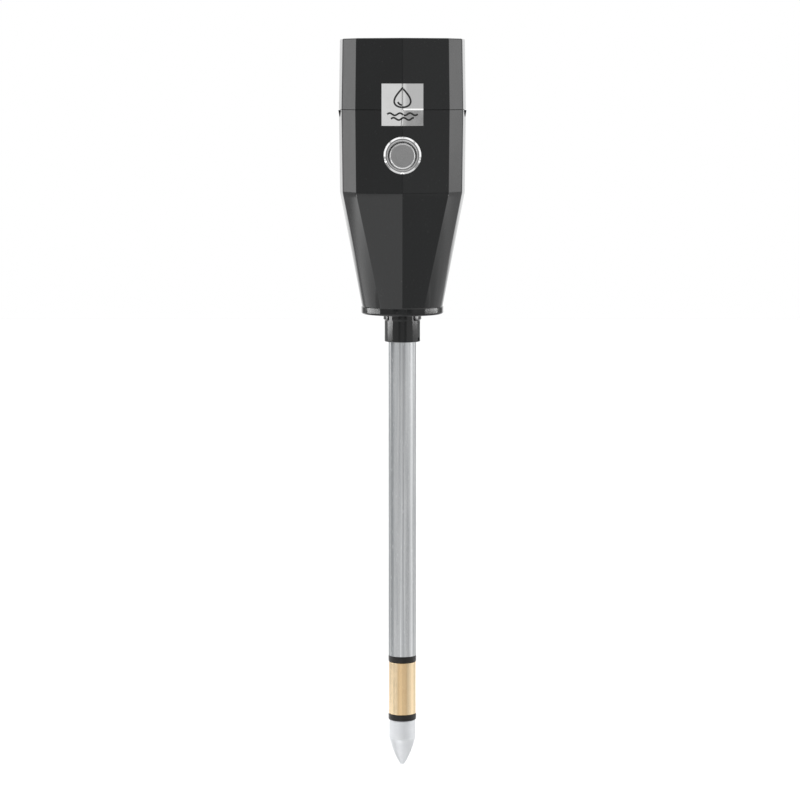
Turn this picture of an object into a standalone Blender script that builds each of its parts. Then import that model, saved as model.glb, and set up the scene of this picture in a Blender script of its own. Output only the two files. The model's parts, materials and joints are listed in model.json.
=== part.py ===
"""Soil moisture meter: a faceted head with a moving-coil dial in its top end, on a two-electrode probe.

Sizes are in millimetres and become metres in make_object. The probe's tip is at the origin, Z runs up
the probe, and the front of the head, with its push button, faces -Y.
"""

import math

import bmesh
import bpy
from mathutils import Matrix, Vector

MM = 0.001
# Clearance between pieces, and the smaller one where pieces are glued or clamped together
GAP = 0.3
BOND = 0.1

# Heights up the probe and the head
TIP_LENGTH = 18.8
RING_THICKNESS = 2.4
BRASS_LENGTH = 21.6
COLLAR_BOTTOM = 173.8
HEAD_BOTTOM = 185.0
BAND_TOP = 188.2
SHOULDER = 233.9
SEAM = 266.9
HEAD_TOP = 295.0

# Radii of the probe
TIP_RADIUS = 5.3
RING_RADIUS = 5.45
BRASS_RADIUS = 5.5
TUBE_RADIUS = 5.7
TUBE_WALL = 1.2
ROD_RADIUS = 1.6

# Plan of the head at the seam: each corner's direction from the front in degrees, its distance from
# the axis, the direction its edge has swung to at the taper's foot, and the number of steps along the
# side that follows it. The other quarters mirror this one.
QUARTER = ((0.0, 26.4, 0.0, 4), (45.0, 26.3, 32.0, 3), (71.5, 25.5, 62.0, 3), (90.0, 25.45, 90.0, 3))
TOP_SCALE = 0.981
SHOULDER_SCALE = 0.985
INNER_SCALE = 0.91
RIM_BEVEL = 0.5
TAPER_FOOT_RADIUS = 16.35
BAND_RADIUS = 16.6

# Dial, seen from above, with the pointer's pivot towards the front
WINDOW_RADIUS = 21.3
DIAL_RADIUS = 21.2
PIVOT_Y = -6.5
DIAL_TOP = 287.6
POINTER_SWING = 90.0
BRIDGE_SCREW_OFFSET = 10.7

# Push button
BUTTON_HEIGHT = 249.15
BUTTON_FACE_Y = -27.9
BEZEL_RADIUS = 7.4
CAP_RADIUS = 5.15
BUSH_RADIUS = 5.9
TERMINAL_OFFSET = 2.3

# colour, roughness, metallic
FINISHES = {
    "black_gloss": ((0.022, 0.024, 0.023), 0.22, 0.0),
    "black_matte": ((0.018, 0.018, 0.018), 0.6, 0.0),
    "chrome": ((0.75, 0.76, 0.77), 0.12, 1.0),
    "satin_chrome": ((0.55, 0.56, 0.56), 0.35, 1.0),
    "foil": ((0.82, 0.82, 0.80), 0.25, 1.0),
    "drawn_metal": ((0.58, 0.60, 0.62), 0.38, 1.0),
    "brass": ((0.72, 0.55, 0.30), 0.32, 1.0),
    "pale_metal": ((0.78, 0.80, 0.80), 0.3, 1.0),
    "steel": ((0.45, 0.45, 0.46), 0.4, 1.0),
    "magnet": ((0.16, 0.16, 0.17), 0.45, 1.0),
    "copper": ((0.72, 0.33, 0.18), 0.35, 1.0),
    "aluminium": ((0.76, 0.77, 0.78), 0.35, 1.0),
    "clear": ((0.9, 0.93, 0.93), 0.05, 0.0),
    "dial_white": ((0.80, 0.79, 0.74), 0.5, 0.0),
    "pointer_red": ((0.55, 0.03, 0.02), 0.4, 0.0),
    "nylon": ((0.72, 0.70, 0.62), 0.5, 0.0),
    "board_green": ((0.03, 0.19, 0.08), 0.4, 0.0),
    "resistor_tan": ((0.55, 0.42, 0.26), 0.5, 0.0),
    "wire_red": ((0.5, 0.02, 0.02), 0.45, 0.0),
    "wire_black": ((0.02, 0.02, 0.02), 0.45, 0.0),
    "wire_yellow": ((0.65, 0.48, 0.03), 0.45, 0.0),
}


def clear_scene():
    for thing in list(bpy.data.objects):
        bpy.data.objects.remove(thing, do_unlink=True)


def material_for(name, finish):
    colour, roughness, metallic = FINISHES[finish]
    material = bpy.data.materials.new(name)
    material.use_nodes = True
    shader = material.node_tree.nodes["Principled BSDF"]
    shader.inputs["Base Color"].default_value = (*colour, 1.0)
    shader.inputs["Roughness"].default_value = roughness
    shader.inputs["Metallic"].default_value = metallic
    if finish == "clear":
        shader.inputs["Transmission Weight"].default_value = 1.0
    return material


def make_object(name, bm, finish, parent=None):
    """Writes a bmesh in millimetres out as an object in metres, with its faces turned outwards."""
    bmesh.ops.recalc_face_normals(bm, faces=bm.faces)
    bmesh.ops.scale(bm, vec=(MM, MM, MM), verts=bm.verts)
    mesh = bpy.data.meshes.new(name)
    bm.to_mesh(mesh)
    bm.free()
    mesh.shade_smooth()
    mesh.set_sharp_from_angle(angle=math.radians(30))
    piece = bpy.data.objects.new(name, mesh)
    bpy.context.collection.objects.link(piece)
    piece.parent = parent
    if finish:
        mesh.materials.append(material_for(name, finish))
    return piece


def make_axis(name, location, rotation=(0.0, 0.0, 0.0)):
    """An empty that carries the pieces that turn or slide together."""
    axis = bpy.data.objects.new(name, None)
    bpy.context.collection.objects.link(axis)
    axis.location = Vector(location) * MM
    axis.rotation_euler = [math.radians(angle) for angle in rotation]
    return axis


def circle(radius, height, steps, centre=(0.0, 0.0)):
    points = []
    for step in range(steps):
        angle = 2 * math.pi * step / steps
        x = centre[0] + radius * math.cos(angle)
        y = centre[1] + radius * math.sin(angle)
        points.append((x, y, height))
    return points


def bridged(rings, closed):
    """Skins a row of rings with the same number of points. A ring of one point is a pole.
    A closed row joins its last ring to its first, for a solid with a hole through it."""
    bm = bmesh.new()
    rows = [[bm.verts.new(point) for point in ring] for ring in rings]
    pairs = list(zip(rows, rows[1:]))
    if closed:
        pairs.append((rows[-1], rows[0]))
    for first, second in pairs:
        count = max(len(first), len(second))
        for step in range(count):
            after = (step + 1) % count
            if len(first) == 1:
                corners = (first[0], second[step], second[after])
            elif len(second) == 1:
                corners = (first[step], first[after], second[0])
            else:
                corners = (first[step], first[after], second[after], second[step])
            bm.faces.new(corners)
    return bm


def turned(outline, steps=24, centre=(0.0, 0.0)):
    """Solid of revolution about Z from (radius, height) points. An outline that starts and ends on
    the axis gives a plain solid, and one clear of the axis closes on itself round a bore."""
    rings = []
    for radius, height in outline:
        if radius == 0:
            rings.append([(centre[0], centre[1], height)])
        else:
            rings.append(circle(radius, height, steps, centre))
    return bridged(rings, closed=outline[0][0] > 0)


def cylinder(radius, bottom, top, steps=24, centre=(0.0, 0.0)):
    return turned([(0, bottom), (radius, bottom), (radius, top), (0, top)], steps, centre)


def tube(radius, bore, bottom, top, steps=24, centre=(0.0, 0.0)):
    return turned([(bore, bottom), (radius, bottom), (radius, top), (bore, top)], steps, centre)


def plate(outline, bottom, top):
    """Extrudes a plan outline of (x, y) points between two heights."""
    bm = bmesh.new()
    lower = [bm.verts.new((x, y, bottom)) for x, y in outline]
    upper = [bm.verts.new((x, y, top)) for x, y in outline]
    bm.faces.new(lower)
    bm.faces.new(upper)
    count = len(outline)
    for step in range(count):
        after = (step + 1) % count
        bm.faces.new((lower[step], lower[after], upper[after], upper[step]))
    return bm


def block(low, high):
    (x0, y0, z0), (x1, y1, z1) = low, high
    return plate([(x0, y0), (x1, y0), (x1, y1), (x0, y1)], z0, z1)


def strip(profile, depth, centre_y=0.0):
    """Extrudes a side outline of (x, z) points along Y, for a bridge bent from flat strip."""
    bm = plate(profile, -depth / 2, depth / 2)
    bmesh.ops.rotate(bm, verts=bm.verts, cent=(0, 0, 0), matrix=Matrix.Rotation(math.pi / 2, 3, "X"))
    bmesh.ops.translate(bm, verts=bm.verts, vec=(0, centre_y, 0))
    return bm


def facing_back(bm, location):
    """Turns a solid built up Z so that it runs along +Y from the given point."""
    bmesh.ops.rotate(bm, verts=bm.verts, cent=(0, 0, 0), matrix=Matrix.Rotation(-math.pi / 2, 3, "X"))
    bmesh.ops.translate(bm, verts=bm.verts, vec=location)
    return bm


def merged(parts):
    """Puts separate solids into one bmesh, to cut them all at once."""
    whole = bmesh.new()
    for part in parts:
        scratch = bpy.data.meshes.new("scratch")
        part.to_mesh(scratch)
        part.free()
        whole.from_mesh(scratch)
        bpy.data.meshes.remove(scratch)
    return whole


def combine(piece, tools, operation, suffix):
    """Joins solids to a piece, or cuts them from it, with one Boolean."""
    tool = make_object(f"{piece.name}_{suffix}", merged(tools), None, piece.parent)
    tool.hide_render = True
    tool.display_type = "WIRE"
    boolean = piece.modifiers.new(suffix, "BOOLEAN")
    boolean.operation = operation
    boolean.solver = "EXACT"
    boolean.object = tool


def cut(piece, *tools):
    combine(piece, tools, "DIFFERENCE", "cutter")


def join(piece, *tools):
    combine(piece, tools, "UNION", "addition")


def make_wire(name, points, radius, finish, parent=None, smooth=True):
    """A round wire along a smooth path, or a coil that keeps to every point."""
    curve = bpy.data.curves.new(name, "CURVE")
    curve.dimensions = "3D"
    curve.bevel_depth = radius * MM
    curve.bevel_resolution = 1 if smooth else 0
    curve.use_fill_caps = True
    curve.resolution_u = 4
    curve.render_resolution_u = 0
    spline = curve.splines.new("NURBS" if smooth else "POLY")
    spline.points.add(len(points) - 1)
    for target, point in zip(spline.points, points):
        target.co = (*(Vector(point) * MM), 1.0)
    if smooth:
        spline.order_u = 3
        spline.use_endpoint_u = True
    curve.materials.append(material_for(name, finish))
    wire = bpy.data.objects.new(name, curve)
    bpy.context.collection.objects.link(wire)
    wire.parent = parent
    return wire


def make_screw(name, place, head_bottom, head_radius, head_height, shank_radius, shank_length, finish):
    """Cheese-head screw, pointing down, with a slot across its head."""
    top = head_bottom + head_height
    end = head_bottom - shank_length
    outline = [
        (0, end),
        (shank_radius * 0.7, end),
        (shank_radius, end + shank_radius),
        (shank_radius, head_bottom),
        (head_radius, head_bottom),
        (head_radius, top - 0.15),
        (head_radius - 0.15, top),
        (0, top),
    ]
    screw = make_object(name, turned(outline, 12, place), finish)
    half = head_radius * 0.16
    x, y = place
    cut(screw, block((x - half, y - 3, top - head_height * 0.5), (x + half, y + 3, top + 1)))


# Head -------------------------------------------------------------------------------------------


def head_corners():
    """Every corner's direction, distance and foot direction, from the front round by +X and back to it."""
    forward = [corner[:3] for corner in QUARTER]
    backward = [(180 - direction, distance, 180 - foot) for direction, distance, foot in forward[-2::-1]]
    half = forward + backward
    return half + [(360 - direction, distance, 360 - foot) for direction, distance, foot in half[-2::-1]]


def side_steps():
    first = [corner[3] for corner in QUARTER[:3]]
    half = first + first[::-1]
    return half + half


def plan_points():
    """Points round the plan at the seam, as (foot direction, x, y), with extra ones along each side."""
    corners = head_corners()
    points = []
    for index, steps in enumerate(side_steps()):
        direction, distance, foot = corners[index]
        next_direction, next_distance, next_foot = corners[index + 1]
        start = on_plan(direction, distance)
        end = on_plan(next_direction, next_distance)
        for step in range(steps):
            share = step / steps
            x = start[0] + (end[0] - start[0]) * share
            y = start[1] + (end[1] - start[1]) * share
            points.append((foot + (next_foot - foot) * share, x, y))
    return points


def on_plan(direction, distance):
    angle = math.radians(direction)
    return distance * math.sin(angle), -distance * math.cos(angle)


def faceted(scale, height):
    return [(x * scale, y * scale, height) for _, x, y in plan_points()]


def rounded(radius, height):
    """A circle with one point for each of the plan's, in the directions they have at the taper's foot."""
    return [(*on_plan(direction, radius), height) for direction, _, _ in plan_points()]


def tapered(scale, radius, shoulder, foot, steps):
    """Rings down a taper whose flats fade from the plan at the shoulder to a circle at the foot."""
    rings = []
    for step in range(steps + 1):
        share = step / steps
        height = shoulder + (foot - shoulder) * share
        above = faceted(scale * (1 - share), height)
        below = rounded(radius * share, height)
        rings.append([(a[0] + b[0], a[1] + b[1], height) for a, b in zip(above, below)])
    return rings


def front_surface(x, height):
    """Y of the head's two front flats, which slope back from the ridge and have a slight draft."""
    ridge = QUARTER[0][1]
    corner_x, corner_y = on_plan(*QUARTER[1][:2])
    slope = (ridge + corner_y) / corner_x
    if height > SEAM:
        scale = 1 - (1 - TOP_SCALE) * (height - SEAM) / (HEAD_TOP - SEAM)
    else:
        scale = 1 - (1 - SHOULDER_SCALE) * (SEAM - height) / (SEAM - SHOULDER)
    return -ridge * scale + slope * abs(x)


def build_lower_housing():
    seat_radius = 8.1
    socket_bore = 7.2
    socket_radius = 10.0
    socket_top = 199.0
    floor = HEAD_BOTTOM + 3.4
    edge = 0.8
    tongue_top = SEAM + 2.6
    tongue_outside = 0.955
    outside = tapered(SHOULDER_SCALE, TAPER_FOOT_RADIUS, SHOULDER, BAND_TOP, 5)[::-1]
    inside = tapered(INNER_SCALE * SHOULDER_SCALE, BAND_RADIUS - 2.2, SHOULDER - 1, floor + 1, 2)
    rings = [rounded(seat_radius, HEAD_BOTTOM)]
    for angle in (0, 45, 90):
        turn = math.radians(angle)
        radius = BAND_RADIUS - edge + edge * math.sin(turn)
        rings.append(rounded(radius, HEAD_BOTTOM + edge - edge * math.cos(turn)))
    rings.append(rounded(BAND_RADIUS, BAND_TOP - 0.25))
    rings += outside
    rings += [faceted(1.0, SEAM - GAP / 2), faceted(tongue_outside, SEAM - GAP / 2)]
    rings += [faceted(tongue_outside, tongue_top), faceted(INNER_SCALE, tongue_top)]
    rings += inside
    rings += [rounded(socket_radius, floor), rounded(socket_radius, socket_top)]
    rings += [rounded(socket_bore, socket_top), rounded(socket_bore, HEAD_BOTTOM + 1)]
    rings += [rounded(seat_radius, HEAD_BOTTOM + 1)]
    housing = make_object("lower_housing", bridged(rings, closed=True), "black_gloss")
    boss_front = (0, BUTTON_FACE_Y + 2.5, BUTTON_HEIGHT)
    join(housing, facing_back(cylinder(BEZEL_RADIUS - 0.3, -0.5, 4.9, 28), boss_front))
    opening = [(0, -5), (BEZEL_RADIUS + 0.2, -5), (BEZEL_RADIUS + 0.2, 0), (BUSH_RADIUS + GAP, 0)]
    opening += [(BUSH_RADIUS + GAP, 12), (0, 12)]
    cut(housing, facing_back(turned(opening, 34), boss_front))
    join(housing, *[pry_lug(side) for side in (-1, 1)])


def pry_lug(side):
    """Small wedge at the seam on each side of the head, for parting the shells."""
    top = SEAM - GAP / 2 - 0.1
    width = QUARTER[3][1]
    profile = [(width - 0.8, top - 2.6), (width - 0.3, top - 2.6), (width + 0.1, top - 0.4)]
    profile += [(width + 0.1, top), (width - 0.8, top)]
    return strip([(side * x, z) for x, z in profile[::side]], 5.0)


def build_upper_housing():
    shelf = HEAD_TOP - 2.0
    shelf_bottom = HEAD_TOP - 3.8
    joint_top = SEAM + 3.0
    rabbet = WINDOW_RADIUS + GAP
    opening = 20.0
    rings = [
        faceted(1.0, SEAM + GAP / 2),
        faceted(TOP_SCALE, HEAD_TOP - RIM_BEVEL),
        faceted(TOP_SCALE - RIM_BEVEL / 26, HEAD_TOP),
        rounded(rabbet, HEAD_TOP),
        rounded(rabbet, shelf),
        rounded(opening, shelf),
        rounded(opening, shelf_bottom),
        faceted(INNER_SCALE, shelf_bottom),
        faceted(INNER_SCALE, joint_top),
        faceted(0.968, joint_top),
        faceted(0.968, SEAM + GAP / 2),
    ]
    make_object("upper_housing", bridged(rings, closed=True), "black_gloss")


def build_foil_label():
    """Thin foil folded over the front ridge, with a slight fold where it crosses the seam."""
    half_width = 8.2
    bottom = SEAM - 6.2
    top = SEAM + 10.3
    thickness = 0.12
    rings = []
    for height in (bottom, SEAM, top):
        ring = []
        for lift in (BOND, BOND + thickness):
            row = [(x, front_surface(x, height) - lift, height) for x in (-half_width, 0, half_width)]
            ring += row if lift == BOND else row[::-1]
        rings.append(ring)
    bm = bridged(rings, closed=False)
    bmesh.ops.holes_fill(bm, edges=bm.edges)
    make_object("foil_label", bm, "foil")


# Dial and movement ------------------------------------------------------------------------------


def build_dial():
    window_bottom = HEAD_TOP - 1.7
    window_top = HEAD_TOP - 0.25
    window = [(0, window_bottom), (WINDOW_RADIUS, window_bottom), (WINDOW_RADIUS, window_top - 0.3)]
    window += [(WINDOW_RADIUS - 0.3, window_top), (0, window_top)]
    make_object("dial_window", turned(window, 40), "clear")
    ring_bottom = DIAL_TOP + GAP
    ring_top = HEAD_TOP - 4.1
    ring = [(DIAL_RADIUS, ring_bottom), (DIAL_RADIUS, ring_top), (20.2, ring_top), (18.9, ring_bottom)]
    make_object("dial_surround", turned(ring, 40), "black_matte")
    dial = make_object("dial_plate", cylinder(DIAL_RADIUS, DIAL_TOP - 0.6, DIAL_TOP, 40), "dial_white")
    screw_places = [(-13.0, -11.0), (13.0, -11.0)]
    slot_half = 9.4
    end_radius = 3.3
    slot = []
    for step in range(13):
        angle = math.pi * step / 12 - math.pi / 2
        slot.append((slot_half + end_radius * math.cos(angle), PIVOT_Y + end_radius * math.sin(angle)))
    slot += [(-x, 2 * PIVOT_Y - y) for x, y in slot]
    holes = [cylinder(0.9, DIAL_TOP - 2, DIAL_TOP + 1, 12, place) for place in screw_places]
    cut(dial, plate(slot, DIAL_TOP - 2, DIAL_TOP + 1), *holes)
    for side, place in zip(("left", "right"), screw_places):
        make_screw(f"dial_screw_{side}", place, DIAL_TOP + BOND, 1.4, 0.8, 0.6, 3.0, "steel")
    return screw_places


def build_movement_frame(dial_screws):
    top = DIAL_TOP - 0.9
    bottom = top - 2.7
    pivot = (0, PIVOT_Y)
    frame = make_object("movement_frame", cylinder(DIAL_RADIUS, bottom, top, 32), "black_matte")
    join(frame, cylinder(11.6, bottom - 8, bottom + 1, 28, pivot))
    holes = [cylinder(0.9, bottom - 1, top + 1, 12, place) for place in dial_screws]
    for side in (-1, 1):
        holes.append(cylinder(0.9, bottom + 0.4, top + 1, 12, (side * BRIDGE_SCREW_OFFSET, PIVOT_Y)))
    seat = [(0, bottom - 9), (10.3, bottom - 9), (10.3, bottom), (7.3, bottom), (7.3, top + 1), (0, top + 1)]
    cut(frame, turned(seat, 28, pivot), *holes)
    return bottom


def build_magnet_system(frame_bottom):
    """Soft-iron ring round a cylindrical magnet, which a cross pin holds clear of the coil."""
    top = frame_bottom - GAP
    bottom = top - 10.0
    middle = (top + bottom) / 2
    pivot = (0, PIVOT_Y)
    make_object("movement_yoke", tube(10.0, 7.0, bottom, top, 28, pivot), "steel")
    magnet = make_object("core_magnet", cylinder(4.6, middle - 3.8, middle + 3.8, 24, pivot), "magnet")
    cut(magnet, facing_back(cylinder(1.0, -8, 8, 12), (0, PIVOT_Y, middle)))
    make_object("core_pin", facing_back(cylinder(0.7, -6.8, 6.8, 12), (0, PIVOT_Y, middle)), "brass")
    return middle


def build_upper_bridge(frame_top):
    """Brass strip bent to stand over the pointer's hub, on two feet screwed to the frame."""
    foot = frame_top + 0.2
    deck = DIAL_TOP + 3.1
    thickness = 0.6
    half = [(8.2, foot), (12.2, foot), (12.2, foot + thickness), (8.8, foot + thickness)]
    half += [(8.8, deck + thickness)]
    other = [(-x, z) for x, z in reversed(half)]
    profile = [(-8.2, deck), (8.2, deck)] + half + other
    bridge = make_object("upper_bridge", strip(profile, 3.6, PIVOT_Y), "brass")
    holes = [cylinder(1.5, deck - 1, deck + 2, 16, (0, PIVOT_Y))]
    for side, name in ((-1, "left"), (1, "right")):
        place = (side * BRIDGE_SCREW_OFFSET, PIVOT_Y)
        holes.append(cylinder(0.8, foot - 1, foot + 1, 12, place))
        head = foot + thickness + BOND
        make_screw(f"bridge_screw_{name}", place, head, 1.3, 0.8, 0.55, 3.0, "steel")
    cut(bridge, *holes)
    return deck


def build_lower_bridge():
    bottom = 269.0
    top = bottom + 1.0
    leg_top = 275.6
    half = [(11.4, bottom), (11.4, leg_top), (10.6, leg_top), (10.6, top)]
    profile = half + [(-x, z) for x, z in reversed(half)]
    bridge = make_object("lower_bridge", strip(profile, 4.0, PIVOT_Y), "brass")
    cut(bridge, cylinder(1.5, bottom - 1, top + 1, 16, (0, PIVOT_Y)))
    return bottom


def build_pivot_screws(deck, lower_bottom):
    """Slotted screws with a cone bearing in the end that faces the coil."""
    pivot = (0, PIVOT_Y)
    screws = (("upper_pivot_screw", deck - 0.7, 1), ("lower_pivot_screw", lower_bottom + 1.7, -1))
    for name, tip, direction in screws:
        end = tip + direction * 2.3
        outline = [(0, tip + direction * 1.1), (0.9, tip), (1.2, tip), (1.2, end), (0, end)]
        screw = make_object(name, turned(outline, 16, pivot), "brass")
        low, high = sorted((end - direction * 0.5, end + direction))
        cut(screw, block((-0.18, PIVOT_Y - 3, low), (0.18, PIVOT_Y + 3, high)))


def spiral(inner, outer, turns, height, steps_per_turn=12):
    points = []
    count = int(turns * steps_per_turn)
    for step in range(count + 1):
        share = step / count
        angle = 2 * math.pi * turns * share - math.pi / 2
        radius = inner + (outer - inner) * share
        points.append((radius * math.cos(angle), PIVOT_Y + radius * math.sin(angle), height))
    return points


def build_hairsprings(deck):
    heights = {"upper_hairspring": deck - 1.3, "lower_hairspring": 271.9}
    for name, height in heights.items():
        make_wire(name, spiral(1.0, 3.9, 3, height), 0.15, "brass", smooth=False)


def build_zero_arm(deck):
    """Ring held by friction on the upper pivot screw, whose arm holds the hairspring's outer end."""
    arm_axis = make_axis("zero_arm_axis", (0, PIVOT_Y, 0))
    top = deck - 0.3
    bottom = top - 0.35
    outline = []
    for step in range(21):
        angle = math.radians(-90 + 20 + 320 * step / 20)
        outline.append((2.6 * math.cos(angle), 2.6 * math.sin(angle)))
    outline += [(-0.7, -6.4), (0.7, -6.4)]
    arm = make_object("zero_arm", plate(outline, bottom, top), "brass", arm_axis)
    join(arm, block((-0.35, -4.9, bottom - 0.9), (0.35, -4.3, bottom + 0.2)))
    cut(arm, cylinder(1.5, bottom - 1, top + 1, 16))


def build_stop_pins():
    """Two pins that end the pointer's swing, just past each end of the scale."""
    reach = 9.0
    beyond = 6.0
    for name, side in (("stop_pin_low", -1), ("stop_pin_high", 1)):
        angle = math.radians(side * (POINTER_SWING / 2 + beyond))
        place = (reach * math.sin(angle), PIVOT_Y + reach * math.cos(angle))
        make_object(name, cylinder(0.35, DIAL_TOP + BOND, DIAL_TOP + 1.6, 10, place), "brass")


def upright_loop(half_width, half_height, thickness, depth):
    """Rectangular loop standing across X, centred on the axis."""
    rings = []
    for width, height, y in (
        (half_width, half_height, -depth / 2),
        (half_width, half_height, depth / 2),
        (half_width - thickness, half_height - thickness, depth / 2),
        (half_width - thickness, half_height - thickness, -depth / 2),
    ):
        rings.append([(-width, y, -height), (width, y, -height), (width, y, height), (-width, y, height)])
    return bridged(rings, closed=True)


def build_moving_coil(middle, deck, lower_bottom):
    """Coil, staffs and pointer, which turn together. They are built with the pointer straight ahead
    along +Y, and their axis is turned back by half the swing to the scale's zero."""
    axis = make_axis("pointer_axis", (0, PIVOT_Y, 0), (0, 0, POINTER_SWING / 2))
    former_half_height = 4.7
    former = upright_loop(5.4, former_half_height, 0.3, 3.0)
    bmesh.ops.translate(former, verts=former.verts, vec=(0, 0, middle))
    make_object("coil_former", former, "aluminium", axis)
    coil_half_height = former_half_height + BOND + 0.8
    winding = upright_loop(6.3, coil_half_height, 0.8, 2.6)
    bmesh.ops.translate(winding, verts=winding.verts, vec=(0, 0, middle))
    make_object("coil_winding", winding, "copper", axis)
    coil_top = middle + coil_half_height + BOND
    coil_bottom = middle - coil_half_height - BOND
    upper_tip = deck - 0.2
    upper = [(0, coil_top), (1.2, coil_top), (1.2, coil_top + 0.6), (0.5, coil_top + 0.6)]
    upper += [(0.5, upper_tip - 0.7), (0.08, upper_tip), (0, upper_tip)]
    make_object("upper_staff", turned(upper, 12), "steel", axis)
    lower_tip = lower_bottom + 1.2
    lower = [(0, coil_bottom), (1.2, coil_bottom), (1.2, coil_bottom - 0.6), (0.5, coil_bottom - 0.6)]
    lower += [(0.5, lower_tip + 0.7), (0.08, lower_tip), (0, lower_tip)]
    make_object("lower_staff", turned(lower, 12), "steel", axis)
    blade_bottom = DIAL_TOP + 0.6
    hub = []
    for step in range(7):
        angle = math.radians(-60 + 20 * step)
        hub.append((1.3 * math.cos(angle), 1.3 * math.sin(angle)))
    right = [(0.4, -5.6), (0.4, -1.3)] + hub + [(0.5, 1.4), (0.12, 17.3)]
    outline = right + [(-x, y) for x, y in reversed(right)]
    pointer = make_object("pointer", plate(outline, blade_bottom, blade_bottom + 0.25), "pointer_red", axis)
    cut(pointer, cylinder(0.6, blade_bottom - 1, blade_bottom + 1, 12))
    weight = cylinder(1.1, blade_bottom - 0.35, blade_bottom - 0.05, 12, (0, -4.4))
    make_object("balance_weight", weight, "steel", axis)


# Push button ------------------------------------------------------------------------------------


def build_button():
    """Small metal push-button switch. Its pieces are built along their axis from the bezel's face."""
    place = (0, BUTTON_FACE_Y, BUTTON_HEIGHT)
    switch = make_axis("switch_axis", place, (-90, 0, 0))
    moving = make_axis("button_axis", place, (-90, 0, 0))
    bore = CAP_RADIUS + 0.25
    bezel = [(bore, 0.3), (bore + 0.3, 0), (BEZEL_RADIUS - 0.8, 0), (BEZEL_RADIUS, 0.8)]
    bezel += [(BEZEL_RADIUS, 1.7), (BUSH_RADIUS, 1.7), (BUSH_RADIUS, 14.0), (4.7, 14.0), (4.7, 9.4)]
    bezel += [(2.4, 9.4), (2.4, 8.2), (4.7, 8.2), (4.7, 4.7), (bore, 4.7)]
    make_object("button_bezel", turned(bezel, 32), "chrome", switch)
    seal = [(6.3, 1.9), (7.0, 1.9), (7.0, 2.3), (6.3, 2.3)]
    make_object("button_seal", turned(seal, 28), "black_matte", switch)
    cap = [(0, 0.1), (CAP_RADIUS - 0.4, 0.1), (CAP_RADIUS, 0.5), (CAP_RADIUS, 2.7)]
    cap += [(1.6, 2.7), (1.6, 11.0), (0, 11.0)]
    make_object("button_cap", turned(cap, 32), "satin_chrome", moving)
    plunger = [(0, 11.2), (1.8, 11.2), (1.8, 14.9), (0, 14.9)]
    make_object("switch_plunger", turned(plunger, 16), "nylon", moving)
    make_object("contact_bridge", block((-2.9, -0.8, 15.05), (2.9, 0.8, 15.55)), "brass", moving)
    coil = []
    steps = 50
    for step in range(steps + 1):
        angle = 2 * math.pi * step / 10
        coil.append((3.1 * math.cos(angle), 3.1 * math.sin(angle), 3.35 + 4.2 * step / steps))
    make_wire("button_spring", coil, 0.3, "steel", switch, smooth=False)
    make_object("button_nut", hex_nut(14.0, BUSH_RADIUS + GAP, 7.8, 9.8), "steel", switch)
    base = [(0, 20.0), (5.6, 20.0), (5.6, 14.3), (4.4, 14.3), (4.4, 11.6), (3.4, 11.6)]
    base += [(3.4, 17.9), (0, 17.9)]
    body = make_object("switch_base", turned(base, 24), "black_matte", switch)
    slots = []
    for side, name in ((-1, "left"), (1, "right")):
        x = side * TERMINAL_OFFSET
        blade = block((x - 0.3, -0.7, 17.45), (x + 0.3, 0.7, 26.0))
        make_object(f"switch_terminal_{name}", blade, "brass", switch)
        slots.append(block((x - 0.5, -0.9, 17.0), (x + 0.5, 0.9, 21.0)))
    cut(body, *slots)


def hex_nut(across_flats, bore, bottom, top, steps=24):
    """Hexagonal ring, its outline sampled at even angles so that the corners and the bore line up."""
    rings = []
    for height, outer in ((bottom, False), (bottom, True), (top, True), (top, False)):
        ring = []
        for step in range(steps):
            angle = 2 * math.pi * step / steps
            from_flat = (angle + math.pi / 6) % (math.pi / 3) - math.pi / 6
            radius = across_flats / 2 / math.cos(from_flat) if outer else bore
            ring.append((radius * math.cos(angle), radius * math.sin(angle), height))
        rings.append(ring)
    return bridged(rings, closed=True)


# Probe ------------------------------------------------------------------------------------------


def arc_between(start, end, bulge, steps):
    """Points on a shallow arc from start to end that stands out from its chord by the bulge."""
    (r0, z0), (r1, z1) = start, end
    chord = math.hypot(r1 - r0, z1 - z0)
    out_r, out_z = (z0 - z1) / chord, (r1 - r0) / chord
    points = []
    for step in range(steps + 1):
        share = step / steps
        lift = bulge * 4 * share * (1 - share)
        points.append((r0 + (r1 - r0) * share + out_r * lift, z0 + (z1 - z0) * share + out_z * lift))
    return points


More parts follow.
